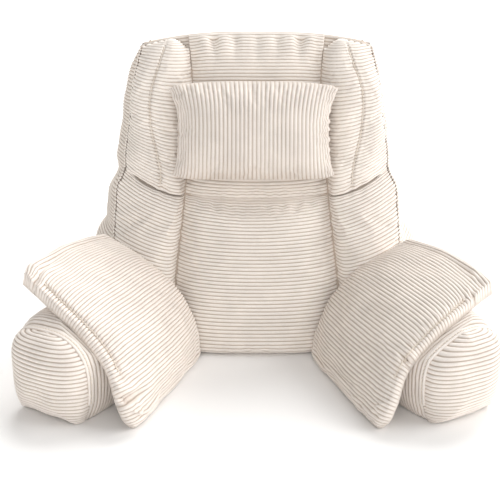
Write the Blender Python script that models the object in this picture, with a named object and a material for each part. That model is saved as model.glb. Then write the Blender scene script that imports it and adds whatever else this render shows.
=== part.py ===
"""A reading pillow in cream corduroy: a filled wedge with sewn panels, a head pillow and two padded arms.

Metres, +Z up, the front towards -Y. The floor is z = 0.
"""

import collections

import bmesh
import bpy
import numpy as np

# The sizes below measure depth from the foot of the backrest's face. The origin lies this far behind it, under
# the middle of the whole pillow
ORIGIN_BEHIND_FACE = 0.0268

# Backrest: the sewn panels stand on one plane that leans back
LEAN = 0.355
PANEL_PLANE = 0.045
SEAM_THICKNESS = 0.012
FOOT_FULL = 0.72
FOOT_ROUND = 0.07
GAP = 0.0003
TOP_HEIGHT = 0.612
TOP_DROP = 0.024
TOP_HALF = 0.235
TOP_CURVE = 3
TOP_ROUND = 0.80
TOP_DEPTH = 0.016

# Filled thickness of each panel over its seams
LUMBAR_CROWN = 0.038
LUMBAR_LOW_BULGE = 0.016
UPPER_CENTRE_CROWN = 0.023
WING_LOWER_CROWN = 0.042
WING_UPPER_CROWN = 0.046
CHANNEL_KEEP = 0.45
CHANNEL_SHARPNESS = 7.0
WING_OUTER_CURVE = 2.4
WING_TOP_DROP = 0.003
WING_SHOULDER = 0.022
WING_SHOULDER_WIDTH = 0.036
LOW_BULGE_FADE = 1.5

# How squarely each panel is filled, across it and up it: 2 is round, and more is flatter with a steeper edge
LUMBAR_SHARPNESS = (2.8, 7.0)
UPPER_CENTRE_SHARPNESS = (3.5, 6.0)
WING_SHARPNESS = (3.2, 4.5)
PAD_SHARPNESS = (6.0, 5.0)

# Grid steps across each panel and up it, the wing's below and above its channel
LUMBAR_STEPS = (14, 12)
UPPER_CENTRE_STEPS = (26, 11)
WING_STEPS = (12, 8, 12)
WING_ROUNDS = 4

# The cross seam of the centre and the channel across each wing
CROSS_SEAM_HEIGHT = 0.285
CROSS_SEAM_RISE = 0.011
CENTRE_HALF = 0.148
CHANNEL_HEIGHT = 0.297
CHANNEL_RISE = 0.050
CHANNEL_REACH = 0.125
CHANNEL_CURVE = 1.4

# Gathers at the top of the upper centre panel
GATHER_PITCH = 0.0436
GATHER_DEPTH = 0.006
GATHER_FADE = 0.2
GATHER_START = 0.04

BODY_COLUMNS = ("height", "front_half", "left_side", "right_side", "rear_y")
BODY_SECTIONS = (
    (0.000, 0.300, 0.338, 0.336, 0.338),
    (0.060, 0.302, 0.362, 0.360, 0.356),
    (0.140, 0.300, 0.362, 0.360, 0.362),
    (0.200, 0.297, 0.350, 0.342, 0.360),
    (0.235, 0.295, 0.328, 0.318, 0.352),
    (0.270, 0.293, 0.326, 0.312, 0.348),
    (0.318, 0.288, 0.318, 0.303, 0.340),
    (0.345, 0.275, 0.303, 0.288, 0.334),
    (0.380, 0.273, 0.302, 0.286, 0.328),
    (0.450, 0.263, 0.288, 0.276, 0.314),
    (0.510, 0.257, 0.279, 0.270, 0.300),
    (0.560, 0.247, 0.266, 0.258, 0.288),
    (0.612, 0.233, 0.244, 0.240, 0.275),
)
BODY_ROWS = 22
BODY_ROW_EASE = 1.25
BODY_FRONT_STEPS = 8
BODY_SIDE_STEPS = 6
BACK_CROWN = 0.020

# Plan of one side, from the front seam over the side and the rear corner to the middle of the back. Across it
# is the front's half and a share of the flare, less shares of the depth and of the half. Along it is a share of
# the depth and of the crown
BODY_PLAN_COLUMNS = ("flare", "depth_in", "half_in", "depth", "crown")
BODY_PLAN = (
    (0.00, 0.00, 0.00, 0.00, 0.0),
    (0.62, 0.00, 0.00, 0.28, 0.0),
    (1.00, 0.00, 0.00, 0.66, 0.0),
    (1.00, 0.08, 0.00, 0.96, 0.0),
    (0.00, 0.00, 0.38, 1.00, 0.6),
    (0.00, 0.00, 1.00, 1.00, 1.0),
)
BODY_CORNER = 3.2

# Half width of the centre panels at their side seams
CENTRE_COLUMNS = ("height", "half")
CENTRE_SEAMS = (
    (0.000, 0.172),
    (0.140, 0.166),
    (0.200, 0.159),
    (0.290, 0.149),
    (0.400, 0.139),
    (0.520, 0.133),
    (0.612, 0.142),
)

# The curved topstitched seam of an upper wing, as a share of the wing's width
CRESCENT_COLUMNS = ("share_up", "share_across")
CRESCENT = (
    (0.00, 0.30),
    (0.20, 0.42),
    (0.45, 0.62),
    (0.70, 0.66),
    (0.88, 0.54),
    (1.00, 0.44),
)
CRESCENT_DEPTH = 0.005
CRESCENT_WIDTH = 0.10
CRESCENT_SHARPNESS = 4.0
CRESCENT_PULL = 0.9

# Head pillow
PILLOW_HALF_WIDTH = 0.151
PILLOW_HALF_HEIGHT = 0.0925
PILLOW_CENTRE = (-0.006, 0.432)
PILLOW_EAR = 0.027
PILLOW_EAR_DROOP = 0.011
PILLOW_FOOT = 0.011
PILLOW_FOOT_LIFT = 0.008
PILLOW_FOOT_CURVE = 8
PILLOW_FRONT_CROWN = 0.050
PILLOW_BACK_CROWN = 0.034
PILLOW_RIM = 0.008
PILLOW_CORNER_CURVE = 3
PILLOW_SHARPNESS = 3
PILLOW_FULLNESS = 0.55
PILLOW_STEPS = (20, 12)
PILLOW_CLEARANCE = 0.0008

# Arms, written for the right one: a station runs from 0 at the backrest to 1 at the end cap's seam
ARM_REAR = (0.215, -0.0094)
ARM_FRONT = (0.354, -0.250)
ARM_TURN = np.radians(33.0)
LEAN_FADE = 1.5
ROLL_CENTRE_HEIGHT = 0.076
ROLL_COLUMNS = ("station", "half_width", "height")
ROLL_SECTIONS = (
    (0.00, 0.080, 0.150),
    (0.15, 0.086, 0.162),
    (0.60, 0.088, 0.170),
    (0.85, 0.089, 0.169),
    (0.95, 0.087, 0.163),
    (1.00, 0.083, 0.152),
)
ROLL_STATIONS = (0.0, 0.08, 0.16, 0.24, 0.32, 0.40, 0.48, 0.56, 0.64, 0.72, 0.80, 0.87, 0.93, 0.97, 1.0)
ROLL_STEPS = 24
OUTER_SQUARENESS = 0.50
INNER_SQUARENESS = 0.88
LOWER_SQUARENESS = 0.78
FLOOR_PRESS = 0.027
CAP_BULGE = 0.048
CAP_SWELL = 0.006
CAP_START = 0.004
CAP_ROUNDNESS = 2.15
CAP_SWELL_CURVE = 6
CAP_RINGS = (1.0, 0.96, 0.86, 0.68, 0.42)
CAP_FLOOR_RING = 0.75

# Arm pads: the skin that faces the roll, from the foot over the knee to the outer edge
PAD_COLUMNS = ("station", "foot_across", "knee_across", "knee_height", "edge_across", "edge_height")
PAD_SECTIONS = (
    (0.00, -0.088, -0.062, 0.146, 0.100, 0.208),
    (0.25, -0.106, -0.078, 0.148, 0.120, 0.212),
    (0.50, -0.121, -0.090, 0.152, 0.122, 0.210),
    (0.75, -0.137, -0.098, 0.156, 0.118, 0.204),
    (0.97, -0.152, -0.104, 0.158, 0.110, 0.196),
)
PAD_END_COLUMNS = ("share_across", "station")
PAD_END = (
    (0.00, 0.935),
    (0.04, 0.972),
    (0.12, 0.988),
    (0.30, 0.950),
    (0.60, 0.935),
    (0.80, 0.900),
    (1.00, 0.800),
)
PAD_KNEE_WEIGHT = 1.25
PAD_THICKNESS = 0.038
PAD_RIM = 0.010
PAD_EDGE_RIM = 0.024
PAD_EDGE_RIM_CURVE = 4
PAD_DROP_SHARES = (0.6, 1.4)
PAD_STEPS = (12, 20)
PAD_CLEARANCE = 0.0010
TINY_STEP = 1e-4
SKIN_SAMPLES = 60
UNCOVERED = 1.0
ON_FLOOR = 0.001

# The right pad has slumped a little lower than the left one
Arm = collections.namedtuple("Arm", "word side edge_drop knee_drop")
ARMS = (Arm("left", -1.0, 0.0, 0.0), Arm("right", 1.0, 0.016, 0.007))

CREAM = (0.80, 0.74, 0.66, 1.0)
SHADED_CREAM = (0.72, 0.66, 0.58, 1.0)


def column(rows, names, name):
    return np.array(rows)[:, names.index(name)]


def flow(at, stations, values):
    """A smooth curve through the values: cubics whose slopes at the stations are those of their neighbours."""
    slopes = np.gradient(values, stations)
    low = np.clip(np.searchsorted(stations, at) - 1, 0, len(stations) - 2)
    span = stations[low + 1] - stations[low]
    t = (at - stations[low]) / span
    start = (1 + 2 * t) * (1 - t) ** 2 * values[low] + t * (1 - t) ** 2 * span * slopes[low]
    end = t * t * (3 - 2 * t) * values[low + 1] + t * t * (t - 1) * span * slopes[low + 1]
    return start + end


def table_flow(at, rows, names, name):
    """The named column of a table at a place between its rows, whose first column says where each row lies."""
    return flow(at, column(rows, names, names[0]), column(rows, names, name))


def body_size(height, name):
    return table_flow(height, BODY_SECTIONS, BODY_COLUMNS, name)


def centre_half(height):
    return table_flow(height, CENTRE_SEAMS, CENTRE_COLUMNS, "half")


def eased(steps):
    """Shares from 0 to 1 that lie closer together at both ends, where a filled edge turns over."""
    even = np.linspace(0.0, 1.0, steps + 1)
    return 0.5 * even + 0.25 * (1 - np.cos(np.pi * even))


def swell(share, sharpness):
    """How full a panel is across its width: 0 at both seams, steep there, and 1 in the middle."""
    return np.sqrt(np.clip(1 - np.abs(2 * share - 1) ** sharpness, 0.0, 1.0))


def foot_swell(up):
    """How full a panel is just above the floor, where it stands on its lower edge and bulges over it."""
    return FOOT_FULL + (1 - FOOT_FULL) * np.sqrt(1 - np.clip(1 - up / FOOT_ROUND, 0, 1) ** 2)


def top_height(across):
    return TOP_HEIGHT - TOP_DROP * np.abs(across / TOP_HALF) ** TOP_CURVE


def wing_top_height(across):
    """The top seam of a wing: a little under the wedge's top, and rounded down at its shoulder by the centre."""
    shoulder = np.clip(1 - (np.abs(across) - CENTRE_HALF + WING_TOP_DROP) / WING_SHOULDER_WIDTH, 0, 1)
    return top_height(across) - WING_TOP_DROP - WING_SHOULDER * shoulder**2


def cross_seam_height(across):
    return CROSS_SEAM_HEIGHT + CROSS_SEAM_RISE * (across / CENTRE_HALF) ** 2


def channel_height(across):
    outward = np.clip((np.abs(across) - CENTRE_HALF) / CHANNEL_REACH, 0.0, None)
    return CHANNEL_HEIGHT + CHANNEL_RISE * outward**CHANNEL_CURVE


def panel_plane(height):
    return PANEL_PLANE + LEAN * height


def lumbar_thickness(across, up):
    """The filled lumbar panel at a share across it and up it. It stands on the floor and is fullest low down."""
    sharp_across, sharp_up = LUMBAR_SHARPNESS
    full = swell(across, sharp_across) * np.where(up < 0.5, foot_swell(up), swell(up, sharp_up))
    return SEAM_THICKNESS + (LUMBAR_CROWN + LUMBAR_LOW_BULGE * (1 - up) ** LOW_BULGE_FADE) * full


def upper_centre_thickness(across, up, place):
    """The filled panel, less a row of soft gathers that fade out below its top seam."""
    sharp_across, sharp_up = UPPER_CENTRE_SHARPNESS
    full = swell(across, sharp_across) * swell(up, sharp_up)
    near_top = np.clip(1 - (1 - up) / GATHER_FADE, 0, 1) * np.sqrt(np.clip((1 - up) / GATHER_START, 0, 1))
    gather = (0.5 + 0.5 * np.cos(2 * np.pi * place / GATHER_PITCH)) ** 2
    return SEAM_THICKNESS + UPPER_CENTRE_CROWN * full - GATHER_DEPTH * near_top * gather * full


def wing_thickness(across, up):
    """Two filled stretches that meet in a dip: up runs from 0 at the floor to 1 at the channel and 2 at the top."""
    sharp_across, sharp_up = WING_SHARPNESS
    lower = up <= 1
    share = np.where(lower, up, up - 1)
    channel_side = np.where(lower, share > 0.5, share < 0.5)
    full = np.where(up < 0.5, foot_swell(up), swell(share, sharp_up))
    full = np.where(channel_side, CHANNEL_KEEP + (1 - CHANNEL_KEEP) * swell(share, CHANNEL_SHARPNESS), full)
    crown = np.where(lower, WING_LOWER_CROWN, WING_UPPER_CROWN)
    seam_length = np.where(lower, 0.0, swell(share, CRESCENT_SHARPNESS))
    seam = CRESCENT_DEPTH * np.exp(-(((across - 0.5) / CRESCENT_WIDTH) ** 2)) * seam_length
    outer_side = 1 - np.clip(2 * across - 1, 0, 1) ** WING_OUTER_CURVE
    return SEAM_THICKNESS + (crown * full - seam) * np.where(across < 0.5, swell(across, sharp_across), outer_side)


def wing_share(across, up):
    """Moves the middle column of a wing's grid onto the crescent seam."""
    target = table_flow(np.clip(up - 1, 0, 1), CRESCENT, CRESCENT_COLUMNS, "share_across")
    return across + (target - 0.5) * 4 * across * (1 - across) * CRESCENT_PULL


def front_of_wing(place, height):
    """How far forward a wing's skin lies at a place, for what leans on it."""
    inner = centre_half(height)
    share = (np.abs(place) - inner) / (body_size(height, "front_half") - inner)
    channel = channel_height(place)
    above = (height - channel) / (wing_top_height(place) - channel)
    up = np.where(height < channel, height / channel, 1 + above)
    return panel_plane(height) - wing_thickness(np.clip(share, 0, 1), np.clip(up, 0, 2))


def add_object(name, points, faces, colour):
    """A mesh object from points and faces, its normals turned outwards, with its own cloth material."""
    mesh = bpy.data.meshes.new(name)
    mesh.from_pydata((points - np.array([0.0, ORIGIN_BEHIND_FACE, 0.0])).tolist(), [], faces)
    shell = bmesh.new()
    shell.from_mesh(mesh)
    bmesh.ops.recalc_face_normals(shell, faces=shell.faces)
    shell.to_mesh(mesh)
    shell.free()
    mesh.shade_smooth()
    material = bpy.data.materials.new(name + "_corduroy")
    material.use_nodes = True
    shader = material.node_tree.nodes["Principled BSDF"]
    shader.inputs["Base Color"].default_value = colour
    shader.inputs["Roughness"].default_value = 0.9
    shader.inputs["Metallic"].default_value = 0.0
    mesh.materials.append(material)
    bpy.context.scene.collection.objects.link(bpy.data.objects.new(name, mesh))


def grid_faces(rows, columns, start=0, around=False):
    """Four-sided faces of a grid of points, joined round its columns when around is set."""
    faces = []
    for row in range(rows - 1):
        for col in range(columns if around else columns - 1):
            after = (col + 1) % columns
            low = start + row * columns
            faces.append((low + col, low + after, low + columns + after, low + columns + col))
    return faces


def rim_of(rows, columns):
    """The indices round the edge of a grid, in order."""
    bottom = list(range(columns))
    right = [row * columns + columns - 1 for row in range(1, rows)]
    top = [(rows - 1) * columns + col for col in range(columns - 2, -1, -1)]
    left = [row * columns for row in range(rows - 2, 0, -1)]
    return bottom + right + top + left


def add_panel(name, place, height, thickness, colour):
    """A filled panel: its swollen front, a wall round its seams, and a flat back on the leaning plane."""
    rows, columns = place.shape
    front = np.stack([place, panel_plane(height) - thickness, height], -1).reshape(-1, 3)
    rim = rim_of(rows, columns)
    back = np.stack([place, panel_plane(height) - GAP, height], -1).reshape(-1, 3)[rim]
    faces = grid_faces(rows, columns)
    count = len(rim)
    first = rows * columns
    for step in range(count):
        after = (step + 1) % count
        faces.append((rim[step], rim[after], first + after, first + step))
    faces.append(tuple(range(first, first + count)))
    add_object(name, np.concatenate([front, back]), faces, colour)


def add_two_faced(name, front, back, colour):
    """Two grids of points of the same size, joined round their edges."""
    rows, columns = front.shape[:2]
    rim = rim_of(rows, columns)
    first = rows * columns
    faces = grid_faces(rows, columns) + grid_faces(rows, columns, start=first)
    for step in range(len(rim)):
        here = rim[step]
        after = rim[(step + 1) % len(rim)]
        faces.append((here, after, first + after, first + here))
    add_object(name, np.concatenate([front.reshape(-1, 3), back.reshape(-1, 3)]), faces, colour)


def lumbar_panel():
    across, up = np.meshgrid(eased(LUMBAR_STEPS[0]), eased(LUMBAR_STEPS[1]))
    guess = (2 * across - 1) * centre_half(CROSS_SEAM_HEIGHT * up)
    height = (cross_seam_height(guess) - GAP) * up
    place = (2 * across - 1) * (centre_half(height) - GAP)
    add_panel("lumbar_panel", place, height, lumbar_thickness(across, up), CREAM)


def upper_centre_panel():
    across, up = np.meshgrid(np.linspace(0, 1, UPPER_CENTRE_STEPS[0] + 1), eased(UPPER_CENTRE_STEPS[1]))
    guess = (2 * across - 1) * CENTRE_HALF
    low = cross_seam_height(guess) + GAP
    height = low + (top_height(guess) - low) * up
    place = (2 * across - 1) * (centre_half(height) - GAP)
    thickness = upper_centre_thickness(across, up, place)
    add_panel("upper_centre_panel", place, height, thickness, CREAM)


def wing(name, side):
    """A filled side panel between the centre's seam and the backrest's edge, its middle row on the channel."""
    steps, lower_steps, upper_steps = WING_STEPS
    across, up = np.meshgrid(eased(steps), np.concatenate([eased(lower_steps), 1 + eased(upper_steps)[1:]]))
    share = wing_share(across, up)
    height = np.clip(up, 0, 1) * CHANNEL_HEIGHT + np.clip(up - 1, 0, 1) * (TOP_HEIGHT - CHANNEL_HEIGHT)
    for _ in range(WING_ROUNDS):
        inner = centre_half(height) + GAP
        place = inner + (body_size(height, "front_half") - inner) * share
        channel = channel_height(place)
        height = channel * np.clip(up, 0, 1) + (wing_top_height(place) - channel) * np.clip(up - 1, 0, 1)
    add_panel(name, side * place, height, wing_thickness(across, up), CREAM)


def body_side(level, side_name):
    """The plan of one side at a level, from the front seam to the middle of the crowned back. Near the top the
    wedge rounds over."""
    front_half = body_size(level, "front_half")
    front_y = panel_plane(level)
    near_top = np.clip((level / TOP_HEIGHT - TOP_ROUND) / (1 - TOP_ROUND), 0, 1)
    full = np.sqrt(1 - near_top**2)
    depth = TOP_DEPTH + (body_size(level, "rear_y") - front_y - TOP_DEPTH) * full
    flare = (body_size(level, side_name) - front_half) * full
    plan = {name: column(BODY_PLAN, BODY_PLAN_COLUMNS, name) for name in BODY_PLAN_COLUMNS}
    across = front_half * (1 - plan["half_in"]) + flare * plan["flare"] - depth * plan["depth_in"]
    along = front_y + depth * plan["depth"] + BACK_CROWN * full * plan["crown"]
    corners = np.arange(float(len(BODY_PLAN)))
    side_at = np.linspace(0.0, BODY_CORNER, BODY_SIDE_STEPS + 1)
    back_at = np.linspace(BODY_CORNER, corners[-1], BODY_FRONT_STEPS // 2 + 1)[1:]
    at = np.concatenate([side_at, back_at])
    return np.stack([flow(at, corners, across), flow(at, corners, along)], -1)


def body_loop(level):
    """One level of the wedge, from the front left corner to the front right one and back round."""
    front_half = body_size(level, "front_half")
    right = body_side(level, "right_side")
    left = body_side(level, "left_side")[::-1][1:-1] * (-1, 1)
    front_x = np.linspace(-front_half, front_half, BODY_FRONT_STEPS + 1)[:-1]
    front = np.stack([front_x, np.full(len(front_x), panel_plane(level))], -1)
    loop = np.concatenate([front, right, left])
    height = level / TOP_HEIGHT * top_height(np.clip(loop[:, 0], -front_half, front_half))
    loop[:, 1] += LEAN * (height - level)
    return np.column_stack([loop, height])


def top_faces(ring):
    """Closes the narrow top: four-sided faces from its front edge to its back, and one face at each end."""
    right_rear = BODY_FRONT_STEPS + BODY_SIDE_STEPS
    left_rear = right_rear + BODY_FRONT_STEPS
    back = ring[right_rear : left_rear + 1][::-1]
    faces = [ring[BODY_FRONT_STEPS : right_rear + 1], [*ring[left_rear:], ring[0]]]
    for step in range(BODY_FRONT_STEPS):
        faces.append((ring[step], ring[step + 1], back[step + 1], back[step]))
    return faces


def back_body():
    """The wedge, as loops of points one above the other, closed at the flat base and at the narrow top."""
    levels = TOP_HEIGHT * (1 - (1 - np.linspace(0, 1, BODY_ROWS)) ** BODY_ROW_EASE)
    loops = [body_loop(level) for level in levels]
    count = len(loops[0])
    faces = grid_faces(BODY_ROWS, count, around=True)
    faces.append(range(count))
    faces += top_faces(list(range((BODY_ROWS - 1) * count, BODY_ROWS * count)))
    add_object("back_body", np.concatenate(loops), faces, SHADED_CREAM)


def head_pillow():
    """Two swollen faces sewn round a rim whose sides are drawn in and whose top corners stand out."""
    columns, rows = PILLOW_STEPS
    across, up = np.meshgrid(2 * eased(columns) - 1, 2 * eased(rows) - 1)
    ears = np.clip(up, 0, 1) ** PILLOW_CORNER_CURVE * PILLOW_EAR
    corner = ears + np.clip(-up, 0, 1) ** PILLOW_CORNER_CURVE * PILLOW_FOOT
    place = PILLOW_CENTRE[0] + across * (PILLOW_HALF_WIDTH + corner)
    droop = PILLOW_EAR_DROOP * np.clip(up, 0, 1) * np.abs(across) ** PILLOW_CORNER_CURVE
    lift = PILLOW_FOOT_LIFT * np.clip(-up, 0, 1) ** 2 * np.abs(across) ** PILLOW_FOOT_CURVE
    height = PILLOW_CENTRE[1] + up * PILLOW_HALF_HEIGHT - droop + lift
    inside = (1 - np.abs(across) ** PILLOW_SHARPNESS) * (1 - np.abs(up) ** PILLOW_SHARPNESS)
    full = np.clip(inside, 0, 1) ** PILLOW_FULLNESS
    rear = panel_plane(height) + PILLOW_BACK_CROWN * full + PILLOW_RIM / 2
    beside = np.abs(place) > centre_half(height)
    room = np.where(beside, front_of_wing(place, height) - rear, np.inf)
    over_centre = panel_plane(height) - SEAM_THICKNESS - UPPER_CENTRE_CROWN - rear
    shift = min(room.min(), over_centre.min()) - PILLOW_CLEARANCE
    rim_y = panel_plane(height) + shift
    front = np.stack([place, rim_y - PILLOW_RIM / 2 - PILLOW_FRONT_CROWN * full, height], -1)
    back = np.stack([place, rim_y + PILLOW_RIM / 2 + PILLOW_BACK_CROWN * full, height], -1)
    add_two_faced("head_pillow", front, back, CREAM)


def arm_points(station, across, height, arm, forward=0.0):
    """Places points of an arm: across its width and up, at a station between the backrest and the end cap.
    The station at the backrest leans with it, and the one at the cap stands upright, turned out."""
    turn = ARM_TURN * station
    lean = LEAN * (1 - station) ** LEAN_FADE
    ahead = np.array(ARM_FRONT) - np.array(ARM_REAR)
    x = ARM_REAR[0] + ahead[0] * station + across * np.cos(turn) + forward * np.sin(turn)
    y = ARM_REAR[1] + ahead[1] * station + across * np.sin(turn) - forward * np.cos(turn) + lean * height
    return np.stack([arm.side * x, y, height + 0 * x], -1)


def pad_size(station, name):
    return table_flow(station, PAD_SECTIONS, PAD_COLUMNS, name)


def pad_skin(station, share, arm):
    """The pad's lower skin as (across, height): a conic from its foot on the floor over the knee to its edge."""
    start = (1 - share) ** 2
    knee = 2 * share * (1 - share) * PAD_KNEE_WEIGHT
    end = share**2
    total = start + knee + end
    knee_height = pad_size(station, "knee_height") - arm.knee_drop
    drop_share = PAD_DROP_SHARES[0] + (PAD_DROP_SHARES[1] - PAD_DROP_SHARES[0]) * station
    edge_height = pad_size(station, "edge_height") - arm.edge_drop * drop_share
    across = start * pad_size(station, "foot_across") + knee * pad_size(station, "knee_across")
    across = across + end * pad_size(station, "edge_across")
    return across / total, (knee * knee_height + end * edge_height) / total


def roll_size(station, name):
    return table_flow(station, ROLL_SECTIONS, ROLL_COLUMNS, name)


def roll_ring(station, arm):
    """One ring of the arm roll as (across, height): a squarish round, pressed flat on the floor, and held
    inside the pad's lower skin where the pad lies over it."""
    half = roll_size(station, "half_width")
    above = roll_size(station, "height") - ROLL_CENTRE_HEIGHT
    below = ROLL_CENTRE_HEIGHT + FLOOR_PRESS
    angle = 2 * np.pi * (np.arange(ROLL_STEPS) + 0.5) / ROLL_STEPS
    upper = np.where(np.cos(angle) > 0, OUTER_SQUARENESS, INNER_SQUARENESS)
    squareness = np.where(np.sin(angle) > 0, upper, LOWER_SQUARENESS)
    across = half * np.sign(np.cos(angle)) * np.abs(np.cos(angle)) ** squareness
    up = np.sign(np.sin(angle)) * np.abs(np.sin(angle)) ** squareness
    rise = np.where(up > 0, up * above, up * below)
    covered = min(station, PAD_SECTIONS[-1][0])
    skin_across, skin_height = pad_skin(covered, np.linspace(0, 1, SKIN_SAMPLES), arm)
    skin_rise = skin_height - ROLL_CENTRE_HEIGHT
    skin_angle = np.arctan2(skin_rise, skin_across) % (2 * np.pi)
    skin_reach = np.hypot(skin_across, skin_rise)
    at_angle = np.arctan2(rise, across) % (2 * np.pi)
    room = np.interp(at_angle, skin_angle[::-1], skin_reach[::-1], left=UNCOVERED, right=UNCOVERED)
    squeeze = np.minimum(1.0, (room - PAD_CLEARANCE) / np.hypot(across, rise))
    return across * squeeze, np.maximum(ROLL_CENTRE_HEIGHT + rise * squeeze, 0.0)


def bolster(arm):
    rings = []
    for station in ROLL_STATIONS:
        across, height = roll_ring(station, arm)
        rings.append(arm_points(station, across, height, arm))
    faces = grid_faces(len(rings), ROLL_STEPS, around=True)
    last = (len(rings) - 1) * ROLL_STEPS
    faces.append(tuple(range(ROLL_STEPS)))
    faces.append(tuple(range(last, last + ROLL_STEPS)))
    add_object("bolster_" + arm.word, np.concatenate(rings), faces, CREAM)


def end_cap(arm):
    """The roll's front ring again, a gap ahead, swelling a little past the seam and doming to its middle."""
    across, height = roll_ring(1.0, arm)
    middle = height.max() / 2
    on_floor = height < ON_FLOOR
    rings = [arm_points(1.0, across, height, arm, forward=GAP)]
    for size in CAP_RINGS:
        dome = np.sqrt(1 - size**CAP_ROUNDNESS)
        wide = size + CAP_SWELL * np.sin(np.pi * size**CAP_SWELL_CURVE) / ROLL_CENTRE_HEIGHT
        tall = np.maximum(middle + (height - middle) * wide, 0.0)
        tall = np.where(on_floor & (size > CAP_FLOOR_RING), 0.0, tall)
        rings.append(arm_points(1.0, across * wide, tall, arm, forward=CAP_START + CAP_BULGE * dome))
    tip = arm_points(1.0, np.zeros(1), np.full(1, middle), arm, CAP_START + CAP_BULGE)
    faces = grid_faces(len(rings), ROLL_STEPS, around=True)
    faces.append(tuple(range(ROLL_STEPS)))
    last = (len(rings) - 1) * ROLL_STEPS
    for step in range(ROLL_STEPS):
        faces.append((last + step, last + (step + 1) % ROLL_STEPS, last + ROLL_STEPS))
    add_object("end_cap_" + arm.word, np.concatenate([*rings, tip]), faces, CREAM)


def arm_pad(arm):
    """A filled pad bent over the roll: its lower skin is the conic, and its upper skin stands off it by the
    filling, which thins to the rim all round. Its foot is pressed flat on the floor."""
    along, share = np.meshgrid(eased(PAD_STEPS[0]), eased(PAD_STEPS[1]), indexing="ij")
    end = table_flow(share, PAD_END, PAD_END_COLUMNS, "station")
    station = along * end
    across, height = pad_skin(station, share, arm)
    after_across, after_height = pad_skin(station, share + TINY_STEP, arm)
    slope = np.hypot(after_across - across, after_height - height)
    out_across = -(after_height - height) / slope
    out_height = (after_across - across) / slope
    rim = PAD_RIM + (PAD_EDGE_RIM - PAD_RIM) * share**PAD_EDGE_RIM_CURVE
    sharp_along, sharp_across = PAD_SHARPNESS
    thickness = rim + (PAD_THICKNESS - rim) * swell(share, sharp_across) * swell(along, sharp_along)
    skin = np.maximum(height + out_height * thickness, 0.0)
    upper = arm_points(station, across + out_across * thickness, skin, arm)
    lower = arm_points(station, across, height, arm)
    add_two_faced("arm_pad_" + arm.word, upper, lower, CREAM)


def main():
    for thing in list(bpy.data.objects):
        bpy.data.objects.remove(thing)
    back_body()
    lumbar_panel()
    upper_centre_panel()
    head_pillow()
    for arm in ARMS:
        wing("wing_" + arm.word, arm.side)
        bolster(arm)
        end_cap(arm)
        arm_pad(arm)


main()
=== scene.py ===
"""The finished reading pillow, sewn from cream wide-wale corduroy, on a pale studio floor.

Laid out as a Blender add-on and run as a script. Metres, +Z up, the front towards -Y, in the solids' frame.
Each skin is a function of two shares on a grid. A light cloth simulation lets the filling swell it between
its pinned seams, and the wales of the corduroy, the seams and the folds are then raised along its normals.
"""

import collections

import bpy
import numpy as np
from bpy.props import FloatProperty, FloatVectorProperty, IntProperty, PointerProperty
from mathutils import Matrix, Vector


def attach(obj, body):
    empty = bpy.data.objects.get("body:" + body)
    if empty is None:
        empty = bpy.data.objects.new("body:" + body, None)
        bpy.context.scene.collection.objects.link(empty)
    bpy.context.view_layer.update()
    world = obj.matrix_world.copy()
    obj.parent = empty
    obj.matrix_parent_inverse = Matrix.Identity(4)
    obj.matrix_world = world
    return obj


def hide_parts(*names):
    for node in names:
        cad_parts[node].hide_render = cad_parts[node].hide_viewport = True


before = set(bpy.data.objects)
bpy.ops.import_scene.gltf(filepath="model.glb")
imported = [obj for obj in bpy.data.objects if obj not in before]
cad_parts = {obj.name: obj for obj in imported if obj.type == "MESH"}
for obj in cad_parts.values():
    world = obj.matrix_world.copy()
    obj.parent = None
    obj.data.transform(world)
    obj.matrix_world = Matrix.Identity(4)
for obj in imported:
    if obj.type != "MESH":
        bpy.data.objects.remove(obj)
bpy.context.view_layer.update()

bl_info = {
    "name": "Corduroy reading pillow",
    "version": (1, 0, 0),
    "blender": (4, 5, 0),
    "location": "3D View > Sidebar > Reading pillow",
    "description": "Builds a leaning reading pillow with a head pillow and two padded arms",
    "category": "Add Mesh",
}

# Sizes of the backrest, as in the solids. Depths are measured from the foot of its face, which lies this far
# in front of the origin
ORIGIN_BEHIND_FACE = 0.0268
LEAN = 0.355
PANEL_PLANE = 0.045
SEAM_THICKNESS = 0.012
FOOT_FULL = 0.72
FOOT_ROUND = 0.07
GAP = 0.0003
TOP_HEIGHT = 0.612
TOP_DROP = 0.024
TOP_HALF = 0.235
TOP_CURVE = 3
TOP_ROUND = 0.80
TOP_DEPTH = 0.016
LUMBAR_CROWN = 0.038
LUMBAR_LOW_BULGE = 0.016
LOW_BULGE_FADE = 1.5
UPPER_CENTRE_CROWN = 0.023
WING_LOWER_CROWN = 0.042
WING_UPPER_CROWN = 0.046
CHANNEL_KEEP = 0.45
CHANNEL_SHARPNESS = 7.0
WING_OUTER_CURVE = 2.4
WING_TOP_DROP = 0.003
WING_SHOULDER = 0.022
WING_SHOULDER_WIDTH = 0.036
LUMBAR_SHARPNESS = (2.8, 7.0)
UPPER_CENTRE_SHARPNESS = (3.5, 6.0)
WING_SHARPNESS = (3.2, 4.5)
PAD_SHARPNESS = (6.0, 5.0)
CROSS_SEAM_HEIGHT = 0.285
CROSS_SEAM_RISE = 0.011
CENTRE_HALF = 0.148
CHANNEL_HEIGHT = 0.297
CHANNEL_RISE = 0.050
CHANNEL_REACH = 0.125
CHANNEL_CURVE = 1.4
GATHER_PITCH = 0.0436
GATHER_DEPTH = 0.006
GATHER_FADE = 0.2
GATHER_START = 0.04
WING_ROUNDS = 4

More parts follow.
